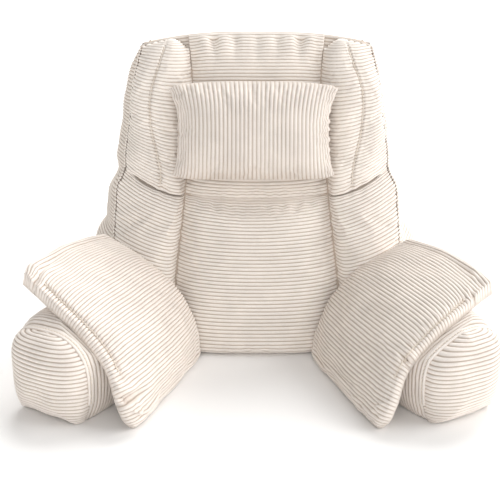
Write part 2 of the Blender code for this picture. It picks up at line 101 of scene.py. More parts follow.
BODY_COLUMNS = ("height", "front_half", "left_side", "right_side", "rear_y")
BODY_SECTIONS = (
    (0.000, 0.300, 0.338, 0.336, 0.338),
    (0.060, 0.302, 0.362, 0.360, 0.356),
    (0.140, 0.300, 0.362, 0.360, 0.362),
    (0.200, 0.297, 0.350, 0.342, 0.360),
    (0.235, 0.295, 0.328, 0.318, 0.352),
    (0.270, 0.293, 0.326, 0.312, 0.348),
    (0.318, 0.288, 0.318, 0.303, 0.340),
    (0.345, 0.275, 0.303, 0.288, 0.334),
    (0.380, 0.273, 0.302, 0.286, 0.328),
    (0.450, 0.263, 0.288, 0.276, 0.314),
    (0.510, 0.257, 0.279, 0.270, 0.300),
    (0.560, 0.247, 0.266, 0.258, 0.288),
    (0.612, 0.233, 0.244, 0.240, 0.275),
)
BODY_PLAN_COLUMNS = ("flare", "depth_in", "half_in", "depth", "crown")
BODY_PLAN = (
    (0.00, 0.00, 0.00, 0.00, 0.0),
    (0.62, 0.00, 0.00, 0.28, 0.0),
    (1.00, 0.00, 0.00, 0.66, 0.0),
    (1.00, 0.08, 0.00, 0.96, 0.0),
    (0.00, 0.00, 0.38, 1.00, 0.6),
    (0.00, 0.00, 1.00, 1.00, 1.0),
)
BODY_CORNER = 3.2
BACK_CROWN = 0.020
BODY_FRONT_STEPS = 30
BODY_SIDE_STEPS = 22

CENTRE_COLUMNS = ("height", "half")
CENTRE_SEAMS = (
    (0.000, 0.172),
    (0.140, 0.166),
    (0.200, 0.159),
    (0.290, 0.149),
    (0.400, 0.139),
    (0.520, 0.133),
    (0.612, 0.142),
)
CRESCENT_COLUMNS = ("share_up", "share_across")
CRESCENT = (
    (0.00, 0.30),
    (0.20, 0.42),
    (0.45, 0.62),
    (0.70, 0.66),
    (0.88, 0.54),
    (1.00, 0.44),
)
CRESCENT_DEPTH = 0.005
CRESCENT_WIDTH = 0.10
CRESCENT_SHARPNESS = 4.0
CRESCENT_PULL = 0.9

PILLOW_HALF_WIDTH = 0.151
PILLOW_HALF_HEIGHT = 0.0925
PILLOW_CENTRE = (-0.006, 0.432)
PILLOW_EAR = 0.027
PILLOW_EAR_DROOP = 0.011
PILLOW_FOOT = 0.011
PILLOW_FOOT_LIFT = 0.008
PILLOW_FOOT_CURVE = 8
PILLOW_FRONT_CROWN = 0.050
PILLOW_BACK_CROWN = 0.034
PILLOW_RIM = 0.008
PILLOW_CORNER_CURVE = 3
PILLOW_SHARPNESS = 3
PILLOW_FULLNESS = 0.55
PILLOW_CLEARANCE = 0.0008

ARM_REAR = (0.215, -0.0094)
ARM_FRONT = (0.354, -0.250)
ARM_TURN = np.radians(33.0)
LEAN_FADE = 1.5
ROLL_CENTRE_HEIGHT = 0.076
ROLL_COLUMNS = ("station", "half_width", "height")
ROLL_SECTIONS = (
    (0.00, 0.080, 0.150),
    (0.15, 0.086, 0.162),
    (0.60, 0.088, 0.170),
    (0.85, 0.089, 0.169),
    (0.95, 0.087, 0.163),
    (1.00, 0.083, 0.152),
)
OUTER_SQUARENESS = 0.50
INNER_SQUARENESS = 0.88
LOWER_SQUARENESS = 0.78
FLOOR_PRESS = 0.027
CAP_BULGE = 0.048
CAP_START = 0.004
CAP_ROUNDNESS = 2.15
PAD_COLUMNS = ("station", "foot_across", "knee_across", "knee_height", "edge_across", "edge_height")
PAD_SECTIONS = (
    (0.00, -0.088, -0.062, 0.146, 0.100, 0.208),
    (0.25, -0.106, -0.078, 0.148, 0.120, 0.212),
    (0.50, -0.121, -0.090, 0.152, 0.122, 0.210),
    (0.75, -0.137, -0.098, 0.156, 0.118, 0.204),
    (0.97, -0.152, -0.104, 0.158, 0.110, 0.196),
)
PAD_END_COLUMNS = ("share_across", "station")
PAD_END = (
    (0.00, 0.935),
    (0.04, 0.972),
    (0.12, 0.988),
    (0.30, 0.950),
    (0.60, 0.935),
    (0.80, 0.900),
    (1.00, 0.800),
)
PAD_KNEE_WEIGHT = 1.25
PAD_THICKNESS = 0.038
PAD_RIM = 0.010
PAD_EDGE_RIM = 0.024
PAD_EDGE_RIM_CURVE = 4
PAD_DROP_SHARES = (0.6, 1.4)
PAD_CLEARANCE = 0.0010
TINY_STEP = 1e-4
SKIN_SAMPLES = 60
UNCOVERED = 1.0

Arm = collections.namedtuple("Arm", "word side edge_drop knee_drop seed")
ARMS = (Arm("left", -1.0, 0.0, 0.0, 3), Arm("right", 1.0, 0.016, 0.007, 8))

# Where the points of one wale lie between its grooves, close together in the groove, the power that rounds
# its back, and the share of its depth that is sunk in the skin
WALE_PHASES = (0.0, 0.12, 0.30, 0.50, 0.70, 0.88)
WALE_ROUNDNESS = 0.75
WALE_SUNK = 0.67

# The wedge's short fade to its top and base, how far its cloth is drawn in, and the welts of its rear seams
WEDGE_RIM_SHARE = 0.01
WEDGE_DRAWN_IN = 0.0015
REAR_SEAM_ENDS = 0.006
REAR_SEAM_SUNK = 0.0010
REAR_SEAM_RADIUS = 0.0034

# The turned-in cloth of the centre's seams: how far it stands over the panels' plane, below the cross seam
# and above it, how thick it is, its low pile level that paints shade on it, and where it starts and ends
VALLEY_HEIGHTS = (0.0165, 0.0130)
VALLEY_RADIUS = 0.0026
VALLEY_SHADED_CREST = 0.22
VALLEY_REACH = (0.012, 0.545)
CROSS_SEAM_SHARE = 0.992

# How far the panels turn under where they stand on the floor, and how high that reaches
FOOT_TURN = 0.010
FOOT_TURN_HEIGHT = 0.007

# Where the wales of a panel die out beside its seams, as a share across, and where its relief does. Then the
# lengths and the width that turn shares of the panels into metres
PLAIN_SHARE = 0.014
PANEL_RIM = 0.008
PANEL_LENGTH = 0.30
LUMBAR_LENGTH = 0.29
UPPER_LENGTH = 0.31
WING_WIDTH = 0.14

# Grid rows to a wale of a wing, and the level over its top where its wales come out flat
WING_WALE_ROWS = 6
WALES_LEVEL_AT = 0.622

# The stitched line of a wing's outer seam: how far in it lies, how deep and wide its groove is, how wide a
# strip along it is painted in shade, its colour drawn to the groove's, and between which shares up it runs
WING_SEAM_IN = 0.0046
WING_SEAM_DEPTH = 0.0052
WING_SEAM_WIDTH = 0.0018
SEAM_SHADE_WIDTH = 0.0017
WING_SEAM_STITCHED = (0.12, 1.985)

# The curved seam over a wing's channel: its fade to both ends, its raised and sunk lines as height, distance
# and width, where its stitches run, the half width and the start of what they hold down, and how far they
# stand out. Then the channel's crease, and its end
CRESCENT_FADE = 0.06
CRESCENT_RIDGES = ((0.0010, 0.0070, 0.0030), (-0.0024, 0.0023, 0.0016))
CRESCENT_STITCHED = (1.05, 1.96)
CRESCENT_HELD = (0.02, 1.03)
STITCH_PROUD = 0.0006
CHANNEL_CREASE_DEPTH = 0.0030
CHANNEL_CREASE_WIDTH = 0.0017
CHANNEL_END = 0.93
CHANNEL_FADE = 0.14

# Grid columns to a wale of the head pillow, and how far its wales keep straight rather than fan to its sides.
# Where its relief dies out at the rim, how long its face is, where its tips start and how far they draw in
HEAD_WALE_COLUMNS = 8
STRAIGHT_SHARE = 0.25
HEAD_EDGE_SHARE = 0.020
HEAD_LENGTH = 0.24
HEAD_TIP = (0.80, 0.84)
HEAD_TIP_IN = (0.007, 0.0, 0.003)

# The rolls: points round a ring, their mean radius, their length, and how far their cloth is drawn in
ROLL_SPOKES = 96
ROLL_RADIUS = 0.09
ARM_LENGTH = 0.28
ROLL_DRAWN_IN = 0.0006

# The seam of an end cap: how far past the level it runs, how clear of the floor, and its two welts and its
# stitches, each with its place ahead of the roll's end and how far it stands out. Then the radius of a welt,
# and how far in from the seam the cap's filling stays even
CAP_SEAM_PAST = 0.30
CAP_SEAM_CLEAR = 0.006
CAP_SEAM_LINES = (
    ("roll_welt_", -0.0042, 0.0006),
    ("cap_welt_", 0.0030, 0.0002),
    ("cap_stitches_", -0.0006, 0.0016),
)
CAP_WELT_RADIUS = 0.0031
CAP_SMOOTH_RIM = 0.02

# The saddle pads: their width, the share along on which their wales are evenly wide, and the rows of their
# grid up to its finer front part and in it
PAD_WIDTH = 0.5
PAD_WALE_LINE = 0.6
PAD_ROWS = (46, 56)
PAD_FINE_FROM = 0.72

# How far behind its front rim a pad is topstitched, where that line starts and ends across and fades, the
# groove under it, the strip before it, and the wales and the stitches on it
PAD_FLANGES = {"left": 0.018, "right": 0.013}
PAD_LINE_START = 0.20
PAD_LINE_ENDS = {"left": 0.91, "right": 0.88}
PAD_LINE_FADES = (0.12, 0.03)
PAD_GROOVE_DEPTH = 0.0034
PAD_GROOVE_WIDTH = 0.0030
PAD_FLANGE_LOW = 0.35
PAD_FLANGE_FADES = (0.006, 0.004)
PAD_SEWN_WIDTH = 0.0022
PAD_SEWN_FLAT = 0.8
PAD_STITCH_PROUD = 0.0012

# Where a pad's relief and its wales die out at the rim, how the pile lies below, where its outer front tip
# starts, the grid point that it is drawn towards and how far, and how thick the pad stays under its folds
PAD_SMOOTH_RIM = 0.005
PAD_WALE_RIM = 0.003
PAD_LOWER_PILE = 0.6
PAD_TIP = (0.86, 0.91)
PAD_TIP_TOWARDS = (-14, -40)
PAD_TIP_IN = {"left": 0.007, "right": 0.0}
PAD_LEAST = 0.003

# Tucks beside the seams: their height, seed and length, how far from the seam they lie and their width
PUCKERS = {
    "lumbar_side": (0.0012, 61, 0.021, 0.006, 0.011),
    "lumbar_top": (0.0013, 62, 0.024, 0.006, 0.012),
    "upper_side": (0.0010, 64, 0.022, 0.006, 0.010),
    "upper_foot": (0.0011, 65, 0.024, 0.006, 0.012),
    "crescent": (0.0010, 28, 0.019, 0.008, 0.008),
    "channel": (0.0008, 33, 0.024, 0.010, 0.008),
    "wing_inner": (0.0010, 40, 0.021, 0.006, 0.010),
    "wing_outer": (0.0010, 40, 0.021, 0.014, 0.009),
    "head_left": (0.0008, 71, 0.019, 0.006, 0.011),
    "head_right": (0.0016, 71, 0.019, 0.006, 0.013),
    "head_ends": (0.0010, 72, 0.023, 0.007, 0.011),
    "roll": (0.0009, 80, 0.022, 0.010, 0.012),
    "cap": (0.0010, 90, 0.020, 0.010, 0.012),
    "pad": (0.0012, 50, 0.019, 0.010, 0.009),
}

# The unevenness of each filling: its height, seed and length
UNEVEN = {
    "wedge_long": (0.0022, 21, 0.16),
    "wedge_short": (0.0010, 22, 0.06),
    "lumbar": (0.0011, 63, 0.085),
    "upper": (0.0008, 66, 0.08),
    "wing": (0.0012, 44, 0.09),
    "head": (0.0010, 73, 0.075),
    "cap": (0.0012, 91, 0.07),
    "pad": (0.0013, 52, 0.075),
}

# Folds and dimples on each skin, by its own shares, row then column: from one place to another, bowed
# sideways, with the width and the depth of the crease, and 1 where it springs from a seam
TOP_GATHERS = (
    (0.985, 0.182, 0.800, 0.192, 0.004, 0.0100, 0.0070, 1),
    (0.985, 0.350, 0.845, 0.346, -0.004, 0.0080, 0.0018, 1),
    (0.985, 0.517, 0.850, 0.522, 0.003, 0.0080, 0.0012, 1),
    (0.985, 0.657, 0.860, 0.652, -0.003, 0.0080, 0.0014, 1),
    (0.985, 0.825, 0.800, 0.808, 0.003, 0.0100, 0.0072, 1),
)
WING_FOLDS = {
    "left": (
        (1.03, 0.980, 1.10, 0.800, 0.01, 0.0050, 0.0018, 1),
        (0.94, 0.985, 0.86, 0.830, 0.00, 0.0060, 0.0020, 1),
    ),
    "right": (
        (0.545, 1.000, 0.603, 0.967, 0.00, 0.0030, 0.0050, 1),
        (0.603, 0.967, 0.560, 0.930, 0.00, 0.0040, 0.0030, 0),
        (1.04, 0.980, 1.12, 0.820, 0.01, 0.0050, 0.0016, 1),
    ),
}
HEAD_FOLDS = (
    (0.670, 1.000, 0.610, 0.850, 0.00, 0.0045, 0.0052, 1),
    (0.560, 1.000, 0.535, 0.870, 0.00, 0.0038, 0.0036, 1),
    (0.470, 1.000, 0.455, 0.830, 0.00, 0.0045, 0.0056, 1),
    (0.350, 1.000, 0.375, 0.850, 0.00, 0.0042, 0.0044, 1),
    (0.250, 1.000, 0.290, 0.905, 0.00, 0.0040, 0.0026, 1),
    (0.620, 0.000, 0.600, 0.085, 0.00, 0.0040, 0.0024, 1),
    (0.470, 0.000, 0.470, 0.120, 0.00, 0.0045, 0.0036, 1),
    (0.330, 0.000, 0.350, 0.080, 0.00, 0.0040, 0.0020, 1),
    (0.975, 0.020, 0.840, 0.120, 0.01, 0.0060, 0.0026, 0),
    (0.975, 0.980, 0.830, 0.890, -0.01, 0.0060, 0.0028, 0),
    (0.030, 0.030, 0.140, 0.110, 0.00, 0.0060, 0.0018, 0),
    (0.030, 0.970, 0.150, 0.880, 0.00, 0.0060, 0.0020, 0),
)
CAP_FOLDS = {
    "left": ((0.52, 0.000, 0.55, 0.160, 0.0, 0.0060, 0.0016, 1),),
    "right": (
        (0.800, 0.860, 0.770, 0.790, 0.01, 0.0050, 0.0040, 0),
        (0.860, 0.780, 0.800, 0.840, 0.0, 0.0060, 0.0020, 0),
    ),
}
PAD_FOLDS = {
    "left": (
        (0.999, 0.150, 0.780, 0.130, -0.010, 0.0075, 0.0220, 1),
        (0.998, 0.925, 0.500, 0.957, 0.012, 0.0058, 0.0082, 1),
        (0.930, 0.385, 0.770, 0.325, 0.006, 0.0060, 0.0024, 0),
        (0.985, 0.315, 0.800, 0.265, 0.006, 0.0065, 0.0050, 1),
        (0.990, 0.255, 0.820, 0.180, 0.004, 0.0065, 0.0052, 1),
        (0.960, 0.215, 0.780, 0.165, 0.0, 0.0070, 0.0022, 0),
        (0.945, 0.070, 0.955, 0.060, 0.0, 0.0190, -0.0060, 0),
    ),
    "right": (
        (1.000, 0.378, 0.920, 0.408, 0.0, 0.0065, 0.0135, 1),
        (0.955, 0.400, 0.860, 0.395, 0.006, 0.0060, 0.0032, 1),
        (0.965, 0.370, 0.840, 0.330, -0.006, 0.0060, 0.0028, 1),
        (0.975, 0.330, 0.865, 0.275, 0.0, 0.0060, 0.0026, 0),
        (0.960, 0.440, 0.890, 0.500, 0.0, 0.0060, 0.0022, 1),
        (0.999, 0.893, 0.900, 0.935, 0.0, 0.0045, 0.0060, 1),
        (0.985, 0.290, 0.975, 0.060, 0.010, 0.0026, 0.0030, 0),
        (0.945, 0.110, 0.955, 0.100, 0.0, 0.0200, -0.0040, 0),
    ),
}

# The points on a fold's line, how it fades from a first end at no seam and to its last end, as shares of its
# length, and the height of its lips and how far off they stand, as shares of its depth and width
FOLD_SAMPLES = 17
FOLD_START = 0.4
FOLD_END = 0.8
FOLD_LIP = 0.35
FOLD_LIP_AWAY = 2.0

# Steps of the fine grids from side to side, of the head pillow's from foot to top, and of the simulated grids
# up and across
FINE_STEPS = {"lumbar": 84, "upper": 120, "wing": 76, "head": 64, "cap": 80}
SETTLING_STEPS = {
    "lumbar": (40, 44),
    "upper": (44, 44),
    "wing": (72, 32),
    "head": (30, 44),
    "cap": (30, 30),
    "pad": (36, 52),
}

# The cloth of the simulation, and how many frames it settles for
CLOTH = {
    "quality": 6,
    "mass": 0.25,
    "tension_stiffness": 12.0,
    "compression_stiffness": 12.0,
    "shear_stiffness": 4.0,
    "bending_stiffness": 0.25,
    "use_pressure": True,
}
SETTLING_FRAMES = 20

# The rings and the sides of a topstitch, and how far its middle lifts and its ends dive, in radii
STITCH_RINGS = 5
STITCH_SIDES = 6
STITCH_LIFT = 1.2
STITCH_DIVE = 2.6

# The size of the stroked patches and the drawn size of the pile's tufts, and the colour of the pile's sheen
PATCH_SIZE = 0.045
TUFT_SIZE = 0.0016
SHEEN_CREAM = 0xFFF3E4

# The floor's half width and how far it lies under the pillow, the spread of the lights, and the camera's
# sensor and sideways shift
FLOOR_HALF = 80.0
FLOOR_DROP = 0.0005
LIGHT_SPREAD = np.radians(50.0)
SENSOR_WIDTH = 36.0
CAMERA_SHIFT = -0.013


# Tables and shares


def column(rows, names, name):
    return np.array(rows)[:, names.index(name)]


def flow(at, stations, values):
    """A smooth curve through the values: cubics with the slopes of the neighbouring stations."""
    at = np.asarray(at, float)
    slopes = np.gradient(values, stations, axis=-1)
    low = np.clip(np.searchsorted(stations, at) - 1, 0, len(stations) - 2)
    span = stations[low + 1] - stations[low]
    t = (at - stations[low]) / span
    start = (1 + 2 * t) * (1 - t) ** 2 * values[..., low] + t * (1 - t) ** 2 * span * slopes[..., low]
    end = t * t * (3 - 2 * t) * values[..., low + 1] + t * t * (t - 1) * span * slopes[..., low + 1]
    return start + end


def table_flow(at, rows, names, name):
    """The named column of a table between its rows, whose first column says where each row lies."""
    return flow(at, column(rows, names, names[0]), column(rows, names, name))


def eased(steps):
    """Shares from 0 to 1 that lie closer together at both ends, where a filled edge turns over."""
    even = np.linspace(0.0, 1.0, steps + 1)
    return 0.5 * even + 0.25 * (1 - np.cos(np.pi * even))


def swell(share, sharpness):
    """How full a panel is across its width: 0 at both seams, steep there, and 1 in the middle."""
    return np.sqrt(np.clip(1 - np.abs(2 * share - 1) ** sharpness, 0.0, 1.0))


def smooth_step(share):
    """0 below 0 and 1 above 1, and an even S between, as 3 squares less 2 cubes."""
    share = np.clip(share, 0.0, 1.0)
    return share * share * (3 - 2 * share)


def carried_on(at, places, values):
    """Reads values between their places, and carries on past both ends at their mean slope."""
    slope = (values[-1] - values[0]) / (places[-1] - places[0])
    beyond = np.minimum(at - places[0], 0) + np.maximum(at - places[-1], 0)
    return np.interp(at, places, values) + slope * beyond


def bell(away, width):
    """1 on a line and fading to 0 beside it, as the bell curve of the distance over the width."""
    return np.exp(-((away / width) ** 2))


def ripple(along, seed, length, count=5):
    """An uneven wave along one coordinate: seeded sines of like length, summed to stay about within 1."""
    rng = np.random.default_rng(seed)
    total = np.zeros_like(np.asarray(along, float))
    for _ in range(count):
        total += np.sin(2 * np.pi * along / (length * rng.uniform(0.7, 1.5)) + rng.uniform(0, 2 * np.pi))
    return total / np.sqrt(count)


def billow(points, seed, length, count=7):
    """A soft uneven field in space: seeded plane waves of like length, summed to stay about within 1."""
    rng = np.random.default_rng(seed)
    total = np.zeros(points.shape[:-1])
    for _ in range(count):
        direction = rng.normal(size=3)
        direction /= np.linalg.norm(direction) * length * rng.uniform(0.75, 1.4)
        total += np.sin(2 * np.pi * points @ direction + rng.uniform(0, 2 * np.pi))
    return total / np.sqrt(count)


def puckers(name, along, away, seed=0):
    """The named tucks, as an uneven wave along a seam that fades with the distance from it."""
    height, own_seed, length, beside_seam, width = PUCKERS[name]
    return height * ripple(along, own_seed + seed, length) * bell(away - beside_seam, width)


def uneven(name, points, seed=0):
    height, own_seed, length = UNEVEN[name]
    return height * billow(points, own_seed + seed, length)


def corner_tip(rows, columns, starts):
    """How far into a corner each point lies: 0 before both starts and 1 at the tip."""
    row_start, column_start = starts
    up = smooth_step((rows - row_start) / (1 - row_start))
    return (up * smooth_step((columns - column_start) / (1 - column_start))) ** 2


# Grids


def grid_faces(rows, columns, start=0, around=False):
    """Four-sided faces of a grid of points, joined round its columns when around is set."""
    row = np.arange(rows - 1)[:, None] * columns + start
    col = np.arange(columns if around else columns - 1)[None, :]
    after = (col + 1) % columns
    return np.stack([row + col, row + after, row + columns + after, row + columns + col], -1).reshape(-1, 4)


def rim_of(rows, columns):
    """The indices round the edge of a grid, in order."""
    index = np.arange(rows * columns).reshape(rows, columns)
    return np.concatenate([index[0], index[1:, -1], index[-1, -2::-1], index[-2:0:-1, 0]])


def wall_faces(rim, first):
    """Four-sided faces from a rim to a second rim, whose points start at first, facing outwards."""
    after = np.roll(rim, -1)
    back = first + np.arange(len(rim))
    return np.stack([after, rim, back, np.roll(back, -1)], -1)


def unit(vectors):
    return vectors / np.maximum(np.linalg.norm(vectors, axis=-1, keepdims=True), 1e-12)


def normals_of(points, around=False):
    """Unit normals of a grid: the direction along its columns crossed with the direction up its rows."""
    by_row = np.gradient(points, axis=0)
    by_column = np.roll(points, -1, 1) - np.roll(points, 1, 1) if around else np.gradient(points, axis=1)
    return unit(np.cross(by_column, by_row))


def above_floor(points):
    return np.maximum(points, (-np.inf, -np.inf, 0.0))


def run_length(line):
    """How far each point of a line lies from its start, measured along it."""
    steps = np.linalg.norm(np.diff(line, axis=0), axis=-1)
    return np.concatenate([[0.0], np.cumsum(steps)])


def seam_distances(points):
    """How far each point of a grid lies from its first column and from its last, measured along its row."""
    steps = np.linalg.norm(np.diff(points, axis=1), axis=-1)
    run = np.concatenate([np.zeros((len(points), 1)), np.cumsum(steps, axis=1)], 1)
    return run, run[:, -1:] - run


def across_line(points, away):
    """The place on each row of a grid that lies a given distance from its last column."""
    outer = seam_distances(points)[1]
    after = np.clip((outer > away).sum(1), 1, points.shape[1] - 1)[:, None]
    far = np.take_along_axis(outer, after - 1, 1)
    near = np.take_along_axis(outer, after, 1)
    share = np.clip((far - away) / (far - near), 0, 1)
    start = np.take_along_axis(points, (after - 1)[..., None], 1)[:, 0]
    end = np.take_along_axis(points, after[..., None], 1)[:, 0]
    return start + (end - start) * share


def beside(points, path):
    """How far each point lies from a path of short straight runs, and the share of the path there."""
    run = np.diff(path, axis=0)
    offset = points[..., None, :] - path[:-1]
    at = np.clip((offset * run).sum(-1) / (run**2).sum(-1), 0, 1)
    apart = np.linalg.norm(offset - at[..., None] * run, axis=-1)
    nearest = apart.argmin(-1)
    within = np.take_along_axis(at, nearest[..., None], -1)[..., 0]
    return apart.min(-1), (nearest + within) / len(run)


def fold_relief(points, skin, folds):
    """How low each point lies in the folds of a table. A fold is deepest on its line, has a soft lip on both
    sides, and fades over its length: from its first end if that is at a seam, and otherwise to both ends."""
    share = np.linspace(0.0, 1.0, FOLD_SAMPLES)
    total = np.zeros(points.shape[:-1])
    for fold in folds:
        row, across, row_after, across_after, bow, width, depth, at_seam = fold
        sideways = across + (across_after - across) * share + bow * 4 * share * (1 - share)
        away, place = beside(points, skin(row + (row_after - row) * share, sideways))
        start = 1.0 if at_seam else smooth_step(place / FOLD_START)
        fade = start * smooth_step((1 - place) / FOLD_END)
        lips = FOLD_LIP * bell(away - FOLD_LIP_AWAY * width, width)
        total += depth * fade * (lips - bell(away, width))
    return total


def wale_lines(line, shares, pitch):
    """Shares at the grid lines of the wales, and which wale each is in. The wales are evenly wide along the
    given line of the skin, whose points are at the given shares, and a whole number of them fits on it."""
    length = run_length(line)
    count = max(4, round(length[-1] / pitch))
    wale = (np.arange(count)[:, None] + np.array(WALE_PHASES)).ravel()
    wale = np.append(wale, float(count))
    return np.interp(wale / count * length[-1], length, shares), wale


def wale_rise(wale):
    """The round pile of a wale over its groove, a sine raised to a power: 0 in the groove and 1 on top."""
    return np.abs(np.sin(np.pi * wale)) ** WALE_ROUNDNESS


def between(coarse, at):
    """Rows of weights that read a coarse row of values at new places with cubic curves through them."""
    return flow(at, coarse, np.eye(len(coarse))).T


# The cloth simulation


def settled(points, pressure, slack, most, held):
    """How far the filling moves each point of a coarse skin. Blender's cloth is pinned at the rim and at what
    held marks, is a little larger than the shape by slack, and is blown out by the filling's pressure, with
    no weight. No point moves further than most."""
    rows, columns = points.shape[:2]
    mesh = bpy.data.meshes.new("settling")
    mesh.from_pydata(points.reshape(-1, 3).tolist(), [], grid_faces(rows, columns).tolist())
    skin = bpy.data.objects.new("settling", mesh)
    bpy.context.scene.collection.objects.link(skin)
    pinned = np.zeros((rows, columns), bool)
    pinned.flat[rim_of(rows, columns)] = True
    if held is not None:
        pinned |= held
    group = skin.vertex_groups.new(name="seams")
    group.add(np.flatnonzero(pinned).tolist(), 1.0, "REPLACE")
    cloth = skin.modifiers.new("filling", "CLOTH")
    settings = cloth.settings
    for key, value in CLOTH.items():
        setattr(settings, key, value)
    settings.vertex_group_mass = group.name
    settings.shrink_min = -slack
    settings.shrink_max = -slack
    settings.uniform_pressure_force = pressure
    settings.effector_weights.gravity = 0.0
    cloth.point_cache.frame_end = SETTLING_FRAMES
    for number in range(1, SETTLING_FRAMES + 1):
        bpy.context.scene.frame_set(number)
    graph = bpy.context.evaluated_depsgraph_get()
    result = skin.evaluated_get(graph).data
    after = np.empty(len(result.vertices) * 3, np.float32)
    result.vertices.foreach_get("co", after)
    moved = after.reshape(points.shape) - points
    bpy.data.objects.remove(skin)
    bpy.data.meshes.remove(mesh)
    bpy.context.scene.frame_set(1)
    reach = np.linalg.norm(moved, axis=-1, keepdims=True)
    return moved * np.minimum(1.0, most * np.tanh(reach / most) / np.maximum(reach, 1e-9))


def swollen(shape, rows_at, columns_at, steps, pressure=3.0, slack=0.012, most=0.006, held=None):
    """The points of a skin at the given shares, moved as the cloth simulation of a coarse grid moves it."""
    points = shape(*np.meshgrid(rows_at, columns_at, indexing="ij"))
    coarse_rows = np.linspace(rows_at[0], rows_at[-1], steps[0] + 1)
    coarse_columns = np.linspace(columns_at[0], columns_at[-1], steps[1] + 1)
    places = np.meshgrid(coarse_rows, coarse_columns, indexing="ij")
    moved = settled(shape(*places), pressure, slack, most, None if held is None else held(*places))
    up = between(coarse_rows, rows_at)
    across = between(coarse_columns, columns_at)
    return points + np.einsum("ri,ijk,cj->rck", up, moved, across)


# Shapes of the backrest, as in the solids


def body_size(height, name):
    return table_flow(height, BODY_SECTIONS, BODY_COLUMNS, name)


def centre_half(height):
    return table_flow(height, CENTRE_SEAMS, CENTRE_COLUMNS, "half")


def foot_swell(up):
    """How full a panel is just above the floor, where it stands on its lower edge and bulges over it."""
    return FOOT_FULL + (1 - FOOT_FULL) * np.sqrt(1 - np.clip(1 - up / FOOT_ROUND, 0, 1) ** 2)


def top_height(across):
    return TOP_HEIGHT - TOP_DROP * np.abs(across / TOP_HALF) ** TOP_CURVE


def wing_top_height(across):
    """The top seam of a wing: a little under the wedge's top, and rounded down by the centre."""
    shoulder = np.clip(1 - (np.abs(across) - CENTRE_HALF + WING_TOP_DROP) / WING_SHOULDER_WIDTH, 0, 1)
    return top_height(across) - WING_TOP_DROP - WING_SHOULDER * shoulder**2


def cross_seam_height(across):
    return CROSS_SEAM_HEIGHT + CROSS_SEAM_RISE * (across / CENTRE_HALF) ** 2


def channel_height(across):
    outward = np.clip((np.abs(across) - CENTRE_HALF) / CHANNEL_REACH, 0.0, None)
    return CHANNEL_HEIGHT + CHANNEL_RISE * outward**CHANNEL_CURVE


def panel_plane(height):
    return PANEL_PLANE + LEAN * height


def placed(across, along, height):
    """Points from across, along and height, with depths moved to the origin's place."""
    return np.stack(np.broadcast_arrays(across, along - ORIGIN_BEHIND_FACE, height), -1)


def lumbar_skin(up, across):
    """The filled lumbar panel: across is from seam to seam and up from the floor to the cross seam."""
    guess = (2 * across - 1) * centre_half(CROSS_SEAM_HEIGHT * up)
    height = (cross_seam_height(guess) - GAP) * up
    place = (2 * across - 1) * (centre_half(height) - GAP)
    sharp_across, sharp_up = LUMBAR_SHARPNESS
    full = swell(across, sharp_across) * np.where(up < 0.5, foot_swell(up), swell(up, sharp_up))
    thickness = SEAM_THICKNESS + (LUMBAR_CROWN + LUMBAR_LOW_BULGE * (1 - up) ** LOW_BULGE_FADE) * full
    return placed(place, panel_plane(height) - thickness, height)


def upper_centre_skin(up, across):
    """The filled panel behind the head pillow, less a row of soft gathers that fade out below the top."""
    guess = (2 * across - 1) * CENTRE_HALF
    low = cross_seam_height(guess) + GAP
    height = low + (top_height(guess) - low) * up
    place = (2 * across - 1) * (centre_half(height) - GAP)
    sharp_across, sharp_up = UPPER_CENTRE_SHARPNESS
    full = swell(across, sharp_across) * swell(up, sharp_up)
    near_top = np.clip(1 - (1 - up) / GATHER_FADE, 0, 1) * np.sqrt(np.clip((1 - up) / GATHER_START, 0, 1))
    gather = (0.5 + 0.5 * np.cos(2 * np.pi * place / GATHER_PITCH)) ** 2
    thickness = SEAM_THICKNESS + UPPER_CENTRE_CROWN * full - GATHER_DEPTH * near_top * gather * full
    return placed(place, panel_plane(height) - thickness, height)


def wing_thickness(across, up):
    """Two filled stretches that meet in a dip: up is 0 at the floor, 1 at the channel and 2 at the top."""
    sharp_across, sharp_up = WING_SHARPNESS
    lower = up <= 1
    share = np.where(lower, up, up - 1)
    channel_side = np.where(lower, share > 0.5, share < 0.5)
    full = np.where(up < 0.5, foot_swell(up), swell(share, sharp_up))
    full = np.where(channel_side, CHANNEL_KEEP + (1 - CHANNEL_KEEP) * swell(share, CHANNEL_SHARPNESS), full)
    crown = np.where(lower, WING_LOWER_CROWN, WING_UPPER_CROWN)
    seam_length = np.where(lower, 0.0, swell(share, CRESCENT_SHARPNESS))
    seam = CRESCENT_DEPTH * np.exp(-(((across - 0.5) / CRESCENT_WIDTH) ** 2)) * seam_length
    outer_side = 1 - np.clip(2 * across - 1, 0, 1) ** WING_OUTER_CURVE
    sideways = np.where(across < 0.5, swell(across, sharp_across), outer_side)
    return SEAM_THICKNESS + (crown * full - seam) * sideways


def wing_share(across, up):
    """Moves the middle column of a wing's grid onto the crescent seam."""
    target = table_flow(np.clip(up - 1, 0, 1), CRESCENT, CRESCENT_COLUMNS, "share_across")
    return across + (target - 0.5) * 4 * across * (1 - across) * CRESCENT_PULL


def wing_skin(up, across):
    """The right wing: across is from the centre's seam to the backrest's edge."""
    share = wing_share(across, up)
    height = np.clip(up, 0, 1) * CHANNEL_HEIGHT + np.clip(up - 1, 0, 1) * (TOP_HEIGHT - CHANNEL_HEIGHT)
    for _ in range(WING_ROUNDS):
        inner = centre_half(height) + GAP
        place = inner + (body_size(height, "front_half") - inner) * share
        channel = channel_height(place)
        height = channel * np.clip(up, 0, 1) + (wing_top_height(place) - channel) * np.clip(up - 1, 0, 1)
    return placed(place, panel_plane(height) - wing_thickness(across, up), height)


